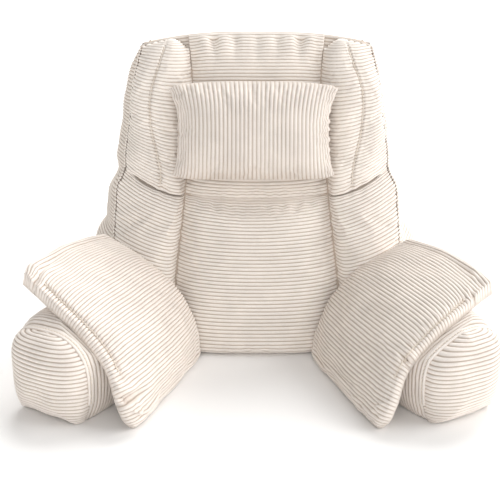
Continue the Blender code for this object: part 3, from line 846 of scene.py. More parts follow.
def front_of_wing(place, height):
    """How far forward a wing's skin lies at a place, for what leans on it."""
    inner = centre_half(height)
    share = (np.abs(place) - inner) / (body_size(height, "front_half") - inner)
    channel = channel_height(place)
    above = (height - channel) / (wing_top_height(place) - channel)
    up = np.where(height < channel, height / channel, 1 + above)
    return panel_plane(height) - wing_thickness(np.clip(share, 0, 1), np.clip(up, 0, 2))


def body_side(level, side_name):
    """The plan of one side at each level, from the front seam to the middle of the crowned back. Near the top
    the wedge rounds over."""
    front_half = body_size(level, "front_half")
    front_y = panel_plane(level)
    near_top = np.clip((level / TOP_HEIGHT - TOP_ROUND) / (1 - TOP_ROUND), 0, 1)
    full = np.sqrt(1 - near_top**2)
    depth = TOP_DEPTH + (body_size(level, "rear_y") - front_y - TOP_DEPTH) * full
    flare = (body_size(level, side_name) - front_half) * full
    plan = {name: column(BODY_PLAN, BODY_PLAN_COLUMNS, name) for name in BODY_PLAN_COLUMNS}
    across = front_half * (1 - plan["half_in"]) + flare * plan["flare"] - depth * plan["depth_in"]
    along = front_y + depth * plan["depth"] + BACK_CROWN * full * plan["crown"]
    corners = np.arange(float(len(BODY_PLAN)))
    side_at = np.linspace(0.0, BODY_CORNER, BODY_SIDE_STEPS + 1)
    back_at = np.linspace(BODY_CORNER, corners[-1], BODY_FRONT_STEPS // 2 + 1)[1:]
    at = np.concatenate([side_at, back_at])
    return flow(at, corners, across), flow(at, corners, along)


def body_skin(levels):
    """The wedge at the given levels, each row from the front left corner to the right one and back round."""
    level = levels[:, None]
    front_half = body_size(level, "front_half")
    right_x, right_y = body_side(level, "right_side")
    left_x, left_y = body_side(level, "left_side")
    front_x = front_half * np.linspace(-1, 1, BODY_FRONT_STEPS + 1)[:-1]
    front_y = panel_plane(level) + 0 * front_x
    x = np.concatenate([front_x, right_x, -left_x[:, -2:0:-1]], 1)
    y = np.concatenate([front_y, right_y, left_y[:, -2:0:-1]], 1)
    height = level / TOP_HEIGHT * top_height(np.clip(x, -front_half, front_half))
    return placed(x, y + LEAN * (height - level), height)


# Shapes of the head pillow and the arms, as in the solids


def pillow_skins(up, across):
    """The head pillow's front and back: a rim with drawn-in sides and standing top corners, and each face
    swelling from it as a power of its distances from the edges. The whole is moved back onto the backrest."""
    a = 2 * across - 1
    u = 2 * up - 1
    ears = np.clip(u, 0, 1) ** PILLOW_CORNER_CURVE * PILLOW_EAR
    corner = ears + np.clip(-u, 0, 1) ** PILLOW_CORNER_CURVE * PILLOW_FOOT
    place = PILLOW_CENTRE[0] + a * (PILLOW_HALF_WIDTH + corner)
    droop = PILLOW_EAR_DROOP * np.clip(u, 0, 1) * np.abs(a) ** PILLOW_CORNER_CURVE
    lift = PILLOW_FOOT_LIFT * np.clip(-u, 0, 1) ** 2 * np.abs(a) ** PILLOW_FOOT_CURVE
    height = PILLOW_CENTRE[1] + u * PILLOW_HALF_HEIGHT - droop + lift
    full = (1 - np.abs(a) ** PILLOW_SHARPNESS) * (1 - np.abs(u) ** PILLOW_SHARPNESS)
    full = np.clip(full, 0, 1) ** PILLOW_FULLNESS
    rear = panel_plane(height) + PILLOW_BACK_CROWN * full + PILLOW_RIM / 2
    room = np.where(np.abs(place) > centre_half(height), front_of_wing(place, height) - rear, np.inf)
    over_centre = panel_plane(height) - SEAM_THICKNESS - UPPER_CENTRE_CROWN - rear
    rim_y = panel_plane(height) + min(room.min(), over_centre.min()) - PILLOW_CLEARANCE
    front = placed(place, rim_y - PILLOW_RIM / 2 - PILLOW_FRONT_CROWN * full, height)
    back = placed(place, rim_y + PILLOW_RIM / 2 + PILLOW_BACK_CROWN * full, height)
    return front, back


def pillow_front(up, across):
    return pillow_skins(up, across)[0]


def arm_points(station, across, height, forward=0.0):
    """Places points of the right arm: across its width and up, at a station between the backrest and the end
    cap. The station at the backrest leans with it, and the one at the cap stands upright, turned out."""
    turn = ARM_TURN * station
    lean = LEAN * (1 - station) ** LEAN_FADE
    ahead = np.array(ARM_FRONT) - np.array(ARM_REAR)
    x = ARM_REAR[0] + ahead[0] * station + across * np.cos(turn) + forward * np.sin(turn)
    y = ARM_REAR[1] + ahead[1] * station + across * np.sin(turn) - forward * np.cos(turn) + lean * height
    return placed(x, y, height)


def pad_size(station, name):
    return table_flow(station, PAD_SECTIONS, PAD_COLUMNS, name)


def pad_section(station, share, arm):
    """The pad's lower skin as (across, height): a conic from its foot over the knee to its edge."""
    start = (1 - share) ** 2
    knee = 2 * share * (1 - share) * PAD_KNEE_WEIGHT
    end = share**2
    total = start + knee + end
    knee_height = pad_size(station, "knee_height") - arm.knee_drop
    drop_share = PAD_DROP_SHARES[0] + (PAD_DROP_SHARES[1] - PAD_DROP_SHARES[0]) * station
    edge_height = pad_size(station, "edge_height") - arm.edge_drop * drop_share
    across = start * pad_size(station, "foot_across") + knee * pad_size(station, "knee_across")
    across = across + end * pad_size(station, "edge_across")
    return across / total, (knee * knee_height + end * edge_height) / total


def pad_skins(along, share, arm):
    """The pad's upper and lower skins. The lower one is the conic, and the upper one stands off it by the
    filling, which thins to the rim all round. Its foot is pressed flat on the floor."""
    station = along * table_flow(share, PAD_END, PAD_END_COLUMNS, "station")
    across, height = pad_section(station, share, arm)
    after_across, after_height = pad_section(station, share + TINY_STEP, arm)
    slope = np.hypot(after_across - across, after_height - height)
    out_across = -(after_height - height) / slope
    out_height = (after_across - across) / slope
    rim = PAD_RIM + (PAD_EDGE_RIM - PAD_RIM) * share**PAD_EDGE_RIM_CURVE
    sharp_along, sharp_across = PAD_SHARPNESS
    thickness = rim + (PAD_THICKNESS - rim) * swell(share, sharp_across) * swell(along, sharp_along)
    raised = np.maximum(height + out_height * thickness, 0.0)
    return arm_points(station, across + out_across * thickness, raised), arm_points(station, across, height)


def roll_rings(stations, angle, arm):
    """Rings of the arm roll as (across, height): a squarish round, pressed flat on the floor, and held inside
    the pad's lower skin where the pad lies over it."""
    half = table_flow(stations, ROLL_SECTIONS, ROLL_COLUMNS, "half_width")[:, None]
    above = table_flow(stations, ROLL_SECTIONS, ROLL_COLUMNS, "height")[:, None] - ROLL_CENTRE_HEIGHT
    below = ROLL_CENTRE_HEIGHT + FLOOR_PRESS
    upper = np.where(np.cos(angle) > 0, OUTER_SQUARENESS, INNER_SQUARENESS)
    squareness = np.where(np.sin(angle) > 0, upper, LOWER_SQUARENESS)
    across = half * np.sign(np.cos(angle)) * np.abs(np.cos(angle)) ** squareness
    up = np.sign(np.sin(angle)) * np.abs(np.sin(angle)) ** squareness
    rise = np.where(up > 0, up * above, up * below)
    covered = np.minimum(stations, PAD_SECTIONS[-1][0])[:, None]
    skin_across, skin_height = pad_section(covered, np.linspace(0, 1, SKIN_SAMPLES)[None, :], arm)
    skin_rise = skin_height - ROLL_CENTRE_HEIGHT
    skin_angle = np.arctan2(skin_rise, skin_across) % (2 * np.pi)
    skin_reach = np.hypot(skin_across, skin_rise)
    at_angle = np.arctan2(rise, across) % (2 * np.pi)
    rings = zip(at_angle, skin_angle[:, ::-1], skin_reach[:, ::-1])
    room = np.array([np.interp(*ring, left=UNCOVERED, right=UNCOVERED) for ring in rings])
    squeeze = np.minimum(1.0, (room - PAD_CLEARANCE) / np.hypot(across, rise))
    return across * squeeze, np.maximum(ROLL_CENTRE_HEIGHT + rise * squeeze, 0.0)


# Making meshes and materials


def hex_colour(code):
    """An sRGB hex value as linear red, green, blue and alpha."""
    srgb = np.array([(code >> shift) & 255 for shift in (16, 8, 0)]) / 255
    linear = np.where(srgb <= 0.04045, srgb / 12.92, ((srgb + 0.055) / 1.055) ** 2.4)
    return (*linear.tolist(), 1.0)


def add_mesh(name, points, faces, material, wale=None):
    """A smooth mesh object at the origin. wale says how high each point stands in the pile."""
    mesh = bpy.data.meshes.new(name)
    mesh.from_pydata(points.reshape(-1, 3).tolist(), [], faces)
    mesh.update()
    mesh.shade_smooth()
    pile = mesh.attributes.new("pile", "FLOAT", "POINT")
    pile.data.foreach_set("value", np.full(len(mesh.vertices), 1.0) if wale is None else np.ravel(wale))
    mesh.materials.append(material)
    piece = bpy.data.objects.new(name, mesh)
    bpy.context.scene.collection.objects.link(piece)
    return piece


def finish_piece(piece, nodes):
    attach(piece, "root")
    if nodes:
        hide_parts(*nodes)


def mirrored(points, side):
    """The right piece's grid, or the left one's, with its columns turned round so that it still faces out."""
    return points if side > 0 else points[:, ::-1] * (-1, 1, 1)


def corded(points, wale, depth, around=False, extra=0.0):
    """Raises the seams and folds in extra along the normals of a grid, and then the wales along the normals
    of that. A third of a wale's depth stands proud of the skin. Returns the points, the height in the pile,
    and the skin under the wales."""
    folded = points + normals_of(points, around) * (extra + 0 * wale)[..., None]
    rise = wale_rise(wale)
    return folded + normals_of(folded, around) * (depth * (rise - WALE_SUNK))[..., None], rise, folded


def closed_panel(name, front, rise, material, depth_of_back):
    """A skin closed by a wall round its rim and a flat back on the leaning plane."""
    rows, columns = front.shape[:2]
    rim = rim_of(rows, columns)
    flat = front.reshape(-1, 3)
    back = flat[rim].copy()
    back[:, 1] = panel_plane(back[:, 2]) - depth_of_back - ORIGIN_BEHIND_FACE
    back[:, 1] = np.maximum(back[:, 1], flat[rim][:, 1] + GAP)
    first = rows * columns
    faces = grid_faces(rows, columns).tolist() + wall_faces(rim, first).tolist()
    faces.append(list(range(first + len(rim) - 1, first - 1, -1)))
    pile = np.concatenate([rise.ravel(), np.full(len(rim), 0.5)])
    return add_mesh(name, np.concatenate([flat, back]), faces, material, pile)


def closed_pair(name, front, back, rise, material):
    """Two skins of the same grid, joined round their rims, the second one facing the other way."""
    rows, columns = front.shape[:2]
    rim = rim_of(rows, columns)
    first = rows * columns
    after = np.roll(rim, -1)
    joint = np.stack([after, rim, first + rim, first + after], -1)
    faces = np.concatenate([grid_faces(rows, columns), grid_faces(rows, columns, first)[:, ::-1], joint])
    points = np.concatenate([front.reshape(-1, 3), back.reshape(-1, 3)])
    return add_mesh(name, points, faces.tolist(), material, np.concatenate([r.ravel() for r in rise]))


def spokes_round(ahead, outward, sides):
    """Unit spokes square to a path at each of its points, the first one sideways, the next outwards."""
    side = unit(np.cross(ahead, outward))[..., None, :]
    out = np.cross(side, ahead[..., None, :])
    angle = np.linspace(0, 2 * np.pi, sides, endpoint=False)[:, None]
    return np.cos(angle) * side + np.sin(angle) * out


def tube(name, path, outward, radius, material, sides=10, crest=1.0):
    """A welt: a round roll of cloth carried along a path, as circles square to it. Its colour is lightest
    where it stands outwards and is drawn towards the groove's on the side turned in to the cloth, as painted
    shade; crest scales it all round. Both ends are closed."""
    ahead = unit(np.gradient(path, axis=0))
    rows = len(path)
    faces = grid_faces(rows, sides, around=True)[:, ::-1].tolist()
    faces += [list(range(sides)), list(range((rows - 1) * sides, rows * sides))[::-1]]
    # Painted shade: the colour darkens towards the groove's on the side that faces in
    facing = np.clip(np.sin(np.linspace(0, 2 * np.pi, sides, endpoint=False)), 0, 1)
    rise = np.broadcast_to(crest * (0.35 + 0.65 * facing), (rows, sides))
    points = path[:, None] + radius * spokes_round(ahead, outward, sides)
    return add_mesh(name, points, faces, material, rise)


def stitches(name, path, outward, length, pitch, radius, material):
    """A row of topstitches: short threads that lie along a path and dive into the cloth at both ends, each
    one a bent tube."""
    run = run_length(path)
    count = int(run[-1] / pitch)
    middle = (np.arange(count) + 0.5) * run[-1] / count
    turns = np.linspace(-0.5, 0.5, STITCH_RINGS)
    at = middle[:, None] + turns * length
    centre = np.stack([np.interp(at, run, path[:, axis]) for axis in range(3)], -1)
    out = unit(np.stack([np.interp(at, run, outward[:, axis]) for axis in range(3)], -1))
    centre += out * (radius * (STITCH_LIFT - STITCH_DIVE * np.abs(2 * turns) ** 3))[:, None]
    spokes = spokes_round(unit(np.gradient(centre, axis=1)), out, STITCH_SIDES)
    single = grid_faces(STITCH_RINGS, STITCH_SIDES, around=True)
    near_end = np.array([[0, 1, 2, 3], [0, 3, 4, 5]])
    far_end = np.array([[0, 3, 2, 1], [0, 5, 4, 3]]) + (STITCH_RINGS - 1) * STITCH_SIDES
    block = np.concatenate([single[:, ::-1], near_end, far_end])
    first = np.arange(count) * STITCH_RINGS * STITCH_SIDES
    faces = (block + first[:, None, None]).reshape(-1, 4)
    return add_mesh(name, centre[:, :, None] + radius * spokes, faces.tolist(), material)


def topstitch(settings, name, path, outward, side, shade_painted=False):
    """A row of topstitches along a path of the right-hand piece, or along its mirror image. The dark thread,
    when asked for, is painted shade: it stands for the shade down in a seam's groove.
    """
    flip = (side, 1, 1)
    sizes = (settings.stitch_length, settings.stitch_pitch, settings.thread_radius)
    if shade_painted:
        thread = thread_of("polyester_thread_painted_shade", settings.seam_shade_tan)
    else:
        thread = thread_of("polyester_topstitching", settings.thread_tan)
    row = stitches(name, path * flip, outward * flip, *sizes, thread)
    finish_piece(row, [])


def add_node(tree, kind, settings=(), **links):
    """Adds a node. settings pairs are its own properties or the values of its inputs, and each link names an
    input by its place, as in_0, and gives the output that feeds it."""
    node = tree.nodes.new(kind)
    for key, value in dict(settings).items():
        if isinstance(key, int) or key in node.inputs:
            node.inputs[key].default_value = value
        else:
            setattr(node, key, value)
    for place, output in links.items():
        tree.links.new(output, node.inputs[int(place.split("_")[1])])
    return node


def new_material(name, values):
    """A material of one shader with the given values. Returns it, its tree of nodes and its shader."""
    material = bpy.data.materials.new(name)
    material.use_nodes = True
    shader = material.node_tree.nodes["Principled BSDF"]
    for key, value in values.items():
        shader.inputs[key].default_value = value
    return material, material.node_tree, shader


def corduroy(name, crest, groove):
    """Cotton corduroy, cut and brushed: rows of upright pile over a plain woven ground. The eye sees soft
    light backs, a sheen at grazing angles, and patches where the pile was stroked another way. Down the
    grooves the colour is drawn to a darker warm tone, which is painted shade. The pile tufts are about
    0.9 mm, drawn larger to show at this distance."""
    values = {
        "Roughness": 0.93,
        "IOR": 1.46,
        "Specular IOR Level": 0.18,
        "Sheen Weight": 0.30,
        "Sheen Roughness": 0.45,
        "Sheen Tint": hex_colour(SHEEN_CREAM),
    }
    material, tree, shader = new_material(name, values)
    place = add_node(tree, "ShaderNodeTexCoord").outputs["Object"]
    pile = add_node(tree, "ShaderNodeAttribute", {"attribute_name": "pile"}).outputs["Fac"]

    def noise(size, detail, roughness):
        values = {"Scale": 1 / size, "Detail": detail, "Roughness": roughness}
        return add_node(tree, "ShaderNodeTexNoise", values, in_0=place).outputs[0]

    def spread(source, values):
        """Maps a range of the source onto another, by the four places that values gives."""
        return add_node(tree, "ShaderNodeMapRange", values, in_0=source).outputs[0]

    stroked = noise(PATCH_SIZE, 3.0, 0.5)
    tufts = noise(TUFT_SIZE, 2.0, 0.6)
    # Painted shade: the pile's height mixes the crest's cream with the darker groove colour down in the
    # grooves
    height = spread(pile, {"interpolation_type": "SMOOTHSTEP", 1: 0.05, 2: 0.85, 3: 0.0, 4: 1.0})
    base = add_node(tree, "ShaderNodeMix", {"data_type": "RGBA"}, in_0=height)
    base.inputs[6].default_value = hex_colour(groove)
    base.inputs[7].default_value = hex_colour(crest)
    patches = spread(stroked, {1: 0.3, 2: 0.7, 3: 0.93, 4: 1.03})
    speckle = spread(tufts, {1: 0.25, 2: 0.75, 3: 0.94, 4: 1.04})
    shade = add_node(tree, "ShaderNodeMath", {"operation": "MULTIPLY"}, in_0=patches, in_1=speckle)
    scaled = add_node(tree, "ShaderNodeVectorMath", {"operation": "SCALE"}, in_0=base.outputs[2])
    tree.links.new(shade.outputs[0], scaled.inputs["Scale"])
    tree.links.new(scaled.outputs[0], shader.inputs["Base Color"])
    add_bump(tree, shader, tufts, 0.35, 0.0006)
    return material


def add_bump(tree, shader, source, strength, distance):
    bump = add_node(tree, "ShaderNodeBump", {"Strength": strength, "Distance": distance})
    tree.links.new(source, bump.inputs["Height"])
    tree.links.new(bump.outputs[0], shader.inputs["Normal"])


def sewing_thread(name, colour):
    """Spun polyester thread, three-ply and lightly waxed: a soft twist shows as fine slanting bands."""
    values = {"Base Color": hex_colour(colour), "Roughness": 0.65, "IOR": 1.5}
    material, tree, shader = new_material(name, values)
    place = add_node(tree, "ShaderNodeTexCoord").outputs["Object"]
    twist = add_node(tree, "ShaderNodeTexNoise", {"Scale": 1500.0, "Detail": 1.0}, in_0=place)
    add_bump(tree, shader, twist.outputs[0], 0.4, 0.0003)
    return material


def cloth_of(settings, slot):
    """The corduroy of a slot, made once."""
    name = "cotton_" + slot
    if name in bpy.data.materials:
        return bpy.data.materials[name]
    crests = {
        "back_corduroy": settings.back_cream,
        "panel_corduroy": settings.panel_cream,
        # The head pillow's darker cream is painted shade
        "pillow_corduroy": settings.pillow_shaded_cream,
        "arm_corduroy": settings.arm_cream,
    }
    return corduroy(name, crests[slot], settings.groove_painted_shade)


def thread_of(name, colour):
    """The thread of that name, made once."""
    if name in bpy.data.materials:
        return bpy.data.materials[name]
    return sewing_thread(name, colour)


# What the add-on shows


class ReadingPillowSettings(bpy.types.PropertyGroup):
    """Sizes and colours of the corduroy and its sewing."""

    wale: FloatProperty(
        name="Wale", description="Width of a wale", default=0.0074, min=0.003, unit="LENGTH"
    )
    head_wale: FloatProperty(
        name="Head's wale", description="Width of a wale there", default=0.0080, min=0.003, unit="LENGTH"
    )
    pile_depth: FloatProperty(
        name="Pile depth", description="Height over the groove", default=0.0026, min=0.0, unit="LENGTH"
    )
    stitch_length: FloatProperty(
        name="Stitch", description="Length of a topstitch", default=0.0046, min=0.001, unit="LENGTH"
    )
    stitch_pitch: FloatProperty(
        name="Stitch pitch", description="From one to the next", default=0.0066, min=0.001, unit="LENGTH"
    )
    thread_radius: FloatProperty(
        name="Thread", description="Radius of the thread", default=0.0010, min=0.0001, unit="LENGTH"
    )
    panel_cream: IntProperty(name="Panels", description="sRGB hex of the panels' cream", default=0xF7F0E9)
    # The head pillow's cream is the panels' cloth painted darker, as shade
    pillow_shaded_cream: IntProperty(name="Head pillow", description="sRGB hex of its cream", default=0xE9E1DA)
    arm_cream: IntProperty(name="Arms", description="sRGB hex of the arms' cream", default=0xF4ECE5)
    back_cream: IntProperty(name="Back", description="sRGB hex of the back's cream", default=0xECE4DC)
    # The groove colour is painted shade, darker than the cream, for the shade down in each groove
    groove_painted_shade: IntProperty(name="Groove", description="sRGB hex down in the grooves", default=0xC4B4A6)
    thread_tan: IntProperty(name="Thread colour", description="sRGB hex of the thread", default=0xEFE5D8)
    # The dark seam thread is painted shade, for the shade down in the wings' outer seams
    seam_shade_tan: IntProperty(name="Seam thread", description="sRGB hex of the outer seams'", default=0x8C8078)


class ReadingPillowStage(bpy.types.PropertyGroup):
    """The floor, the lights and the camera."""

    rear_strength: FloatProperty(name="Rear window", description="Light from behind", default=3.3)
    side_strength: FloatProperty(name="Side window", description="Light from the right", default=1.95)
    front_strength: FloatProperty(name="Front window", description="Light in front", default=0.84)
    room_light: FloatProperty(name="Room", description="Light from all round", default=0.38)
    floor_white: IntProperty(name="Floor", description="sRGB hex of the floor", default=0xFCFBFA)
    camera_place: FloatVectorProperty(
        name="Camera", description="Where it stands", default=(0.0, -1.8338, 0.807), subtype="TRANSLATION"
    )
    camera_aim: FloatVectorProperty(
        name="Aim", description="What it looks at", default=(0.0, -0.0268, 0.22), subtype="TRANSLATION"
    )
    focal_length: FloatProperty(name="Lens", description="Focal length in millimetres", default=70.13)


class PILLOW_OT_backrest(bpy.types.Operator):
    """Makes the filled wedge behind the panels, with the welts of its rear seams."""

    bl_idname = "reading_pillow.backrest"
    bl_label = "Backrest wedge"

    def execute(self, context):
        settings = context.scene.reading_pillow
        dense = np.linspace(0.0, 1.0, 1501)
        right_rear = BODY_FRONT_STEPS + BODY_SIDE_STEPS
        left_rear = right_rear + BODY_FRONT_STEPS
        line = body_skin(dense * TOP_HEIGHT)[:, right_rear + BODY_FRONT_STEPS // 2]
        share, wale = wale_lines(line, dense, settings.wale)
        skin = body_skin(share * TOP_HEIGHT)
        rim = np.minimum(1.0, np.minimum(share, 1 - share) / WEDGE_RIM_SHARE)[:, None]
        relief = (uneven("wedge_long", skin) + uneven("wedge_short", skin) - WEDGE_DRAWN_IN) * rim
        wale = wale[:, None] + 0 * skin[..., 0]
        points, rise, folded = corded(skin, wale, settings.pile_depth, True, relief)
        points[0, :, 2] = 0.0
        points = above_floor(points)
        rows, count = points.shape[:2]
        ring = list(range((rows - 1) * count, rows * count))
        back = ring[right_rear : left_rear + 1][::-1]
        faces = grid_faces(rows, count, around=True).tolist()
        faces.append(list(range(count))[::-1])
        faces += [[ring[n], ring[n + 1], back[n + 1], back[n]] for n in range(BODY_FRONT_STEPS)]
        faces += [ring[BODY_FRONT_STEPS : right_rear + 1], [*ring[left_rear:], ring[0]]]
        cloth = cloth_of(settings, "back_corduroy")
        piece = add_mesh("backrest_wedge", points, faces, cloth, rise)
        finish_piece(piece, ["back_body"])
        outward = normals_of(folded, True)
        for word, corner in (("right", right_rear), ("left", left_rear)):
            kept = np.abs(folded[:, corner, 2] - TOP_HEIGHT / 2) < TOP_HEIGHT / 2 - REAR_SEAM_ENDS
            path = folded[kept, corner] - REAR_SEAM_SUNK * outward[kept, corner]
            welt = tube("rear_seam_" + word, path, outward[kept, corner], REAR_SEAM_RADIUS, cloth)
            finish_piece(welt, [])
        return {"FINISHED"}


class PILLOW_OT_panels(bpy.types.Operator):
    """Makes the filled panels of the backrest's face, each between its pinned seams."""

    bl_idname = "reading_pillow.panels"
    bl_label = "Face panels"

    def panel(self, settings, names, skin, grid, steps, relief, side=1.0, held=None, line=None):
        """One panel, by its own name and that of the node it stands for: its skin as the filling swells it,
        the relief of its seams and folds, and the wales on both. Along a stitched line the colour is drawn to
        the groove's, as painted shade. The grid is its shares up, its shares across and its wales. The relief
        is worked out on the right-hand piece.
        Returns that piece's skin under the wales."""
        share, columns, wale = grid
        points = swollen(skin, share, columns, steps, held=held)
        points[..., 1] += FOOT_TURN * bell(points[..., 2], FOOT_TURN_HEIGHT)
        up, across = np.meshgrid(share, columns, indexing="ij")
        plain = smooth_step(np.minimum(across, 1 - across) / PLAIN_SHARE)
        inner, outer = seam_distances(points)
        ends = np.minimum(share - share[0], share[-1] - share)[:, None] * PANEL_LENGTH
        rim = smooth_step(np.minimum(np.minimum(inner, 2 * outer), ends) / PANEL_RIM)
        raised = relief(points, up, across) * rim
        points, rise, folded = corded(points, wale, settings.pile_depth * plain, extra=raised)
        points = above_floor(mirrored(points, side))
        # Painted shade: the colour along a stitched line is drawn to the groove's
        if line is not None:
            rise = rise * (1 - bell(outer - line, SEAM_SHADE_WIDTH))
        cloth = cloth_of(settings, "panel_corduroy")
        piece = closed_panel(names[0], points, rise if side > 0 else rise[:, ::-1], cloth, GAP)
        finish_piece(piece, [names[1]])
        return folded

    def centre_panel(self, settings, names, skin, word, relief):
        """A panel of the centre, its wales level: each line of them at one share up the side seams."""
        dense = np.linspace(0.0, 1.0, 1201)
        share, wale = wale_lines(skin(dense, np.full_like(dense, 0.5)), dense, settings.wale)
        columns = eased(FINE_STEPS[word])
        grid = (share, columns, wale[:, None] + 0 * columns)
        self.panel(settings, names, skin, grid, SETTLING_STEPS[word], relief)

    def valley(self, settings, name, path):
        """The turned-in cloth of a seam, down in the valley between two filled panels. Its colour is drawn
        most of the way to the groove's, as painted shade.
        """
        outward = np.zeros_like(path) + (0.0, -1.0, 0.3)
        cloth = cloth_of(settings, "panel_corduroy")
        piece = tube(name, path, outward, VALLEY_RADIUS, cloth, crest=VALLEY_SHADED_CREST)
        finish_piece(piece, [])

    def centre(self, settings):
        """The lumbar and upper centre panels, and the seams round them."""

        def lumbar_relief(points, up, across):
            """Puckers along the side seams and the cross seam, and a soft unevenness of the filling."""
            side = puckers("lumbar_side", points[..., 2], np.minimum(*seam_distances(points)))
            top = puckers("lumbar_top", points[..., 0], (1 - up) * LUMBAR_LENGTH)
            return side + top + uneven("lumbar", points) * swell(up, 4) * swell(across, 4)

        def upper_relief(points, up, across):
            """Gathers under the top seam, puckers at the side seams and beside the cross seam."""
            side = puckers("upper_side", points[..., 2], np.minimum(*seam_distances(points)))
            foot = puckers("upper_foot", points[..., 0], up * UPPER_LENGTH)
            gathers = fold_relief(points, upper_centre_skin, TOP_GATHERS)
            return side + foot + gathers + uneven("upper", points) * swell(up, 4)

        names = ("lumbar_cushion", "lumbar_panel")
        self.centre_panel(settings, names, lumbar_skin, "lumbar", lumbar_relief)
        names = ("upper_centre_cushion", "upper_centre_panel")
        self.centre_panel(settings, names, upper_centre_skin, "upper", upper_relief)
        height = np.linspace(*VALLEY_REACH, 160)
        over = np.where(height < CROSS_SEAM_HEIGHT, *VALLEY_HEIGHTS)
        for arm in ARMS:
            path = placed(arm.side * centre_half(height), panel_plane(height) - over, height)
            self.valley(settings, "centre_seam_" + arm.word, path)
        place = np.linspace(-1, 1, 120) * CROSS_SEAM_SHARE * centre_half(CROSS_SEAM_HEIGHT)
        height = cross_seam_height(place)
        self.valley(settings, "cross_seam", placed(place, panel_plane(height) - VALLEY_HEIGHTS[1], height))

    def wing(self, settings, arm):
        """A wing. Below the channel its wales follow it less and less down to the floor. Above it they do so
        less and less up to a level line over the top seam, which cuts them off."""
        columns = eased(FINE_STEPS["wing"])
        low = np.linspace(0.0, 1.0, 1001)
        low_run = run_length(wing_skin(low, np.full_like(low, 0.5)))
        low_count = round(low_run[-1] / settings.wale)
        high = np.linspace(1.0, 2.0, 1001)
        high_line = wing_skin(high, np.full_like(high, 0.5))
        high_run = run_length(high_line)
        high_count = round(high_run[-1] / settings.wale * WING_WALE_ROWS)
        low_rows = np.interp(np.linspace(0, low_run[-1], low_count * WING_WALE_ROWS + 1), low_run, low)
        high_rows = np.interp(np.linspace(0, high_run[-1], high_count + 1), high_run, high)
        share = np.concatenate([low_rows, high_rows[1:]])
        up, across = np.meshgrid(share, columns, indexing="ij")

        def level(points):
            channel = channel_height(points[..., 0])
            return (points[..., 2] - channel) / (WALES_LEVEL_AT - channel)

        below = np.interp(np.clip(up, 0, 1), low, low_run / low_run[-1] * low_count)
        at = level(wing_skin(up, across))
        above = low_count + carried_on(at, level(high_line), high_run / settings.wale)
        wale = np.where(up <= 1, below, above)

        def relief(points, up, across):
            """The crescent and its puckers, the channel's crease that stops short of the outer seam, a rolled
            edge at the outer seam with a groove beside it for its stitches, and the filling's unevenness."""
            length = np.clip(up - 1, 0, 1)
            on = smooth_step(np.minimum(length, 1 - length) / CRESCENT_FADE)
            away = np.abs(across - 0.5) * WING_WIDTH
            crescent = puckers("crescent", points[..., 2], away, arm.seed)
            crescent += sum(height * bell(away - offset, width) for height, offset, width in CRESCENT_RIDGES)
            away = np.abs(up - 1) * UPPER_LENGTH
            reach = smooth_step((CHANNEL_END - across) / CHANNEL_FADE)
            channel = puckers("channel", points[..., 0], away, arm.seed)
            channel -= CHANNEL_CREASE_DEPTH * bell(away, CHANNEL_CREASE_WIDTH)
            inner, outer = seam_distances(points)
            sides = puckers("wing_inner", points[..., 2], inner, arm.seed)
            sides += puckers("wing_outer", points[..., 2], outer, arm.seed)
            sides -= WING_SEAM_DEPTH * bell(outer - WING_SEAM_IN, WING_SEAM_WIDTH)
            filling = uneven("wing", points, arm.seed) * swell(across, 4) * swell(up / 2, 8)
            folds = fold_relief(points, wing_skin, WING_FOLDS[arm.word])
            return on * crescent + reach * channel + sides + filling + folds

        def held(up, across):
            half_width, start = CRESCENT_HELD
            return (np.abs(across - 0.5) < half_width) & (up > start)

        names = ("wing_cushion_" + arm.word, "wing_" + arm.word)
        grid = (share, columns, wale)
        sewing = (arm.side, held, WING_SEAM_IN)
        folded = self.panel(settings, names, wing_skin, grid, SETTLING_STEPS["wing"], relief, *sewing)
        outward = normals_of(folded)
        on = (share > CRESCENT_STITCHED[0]) & (share < CRESCENT_STITCHED[1])
        seam = FINE_STEPS["wing"] // 2
        path = folded[on, seam] + STITCH_PROUD * outward[on, seam]
        name = "crescent_stitches_" + arm.word
        topstitch(settings, name, path, outward[on, seam], arm.side)
        # The outer seam's stitches take the dark thread, painted shade in its groove
        on = (share > WING_SEAM_STITCHED[0]) & (share < WING_SEAM_STITCHED[1])
        path = across_line(folded[on], WING_SEAM_IN)
        name = "wing_seam_stitches_" + arm.word
        topstitch(settings, name, path, outward[on, -4], arm.side, shade_painted=True)

    def execute(self, context):
        settings = context.scene.reading_pillow
        self.centre(settings)
        for arm in ARMS:
            self.wing(settings, arm)
        return {"FINISHED"}


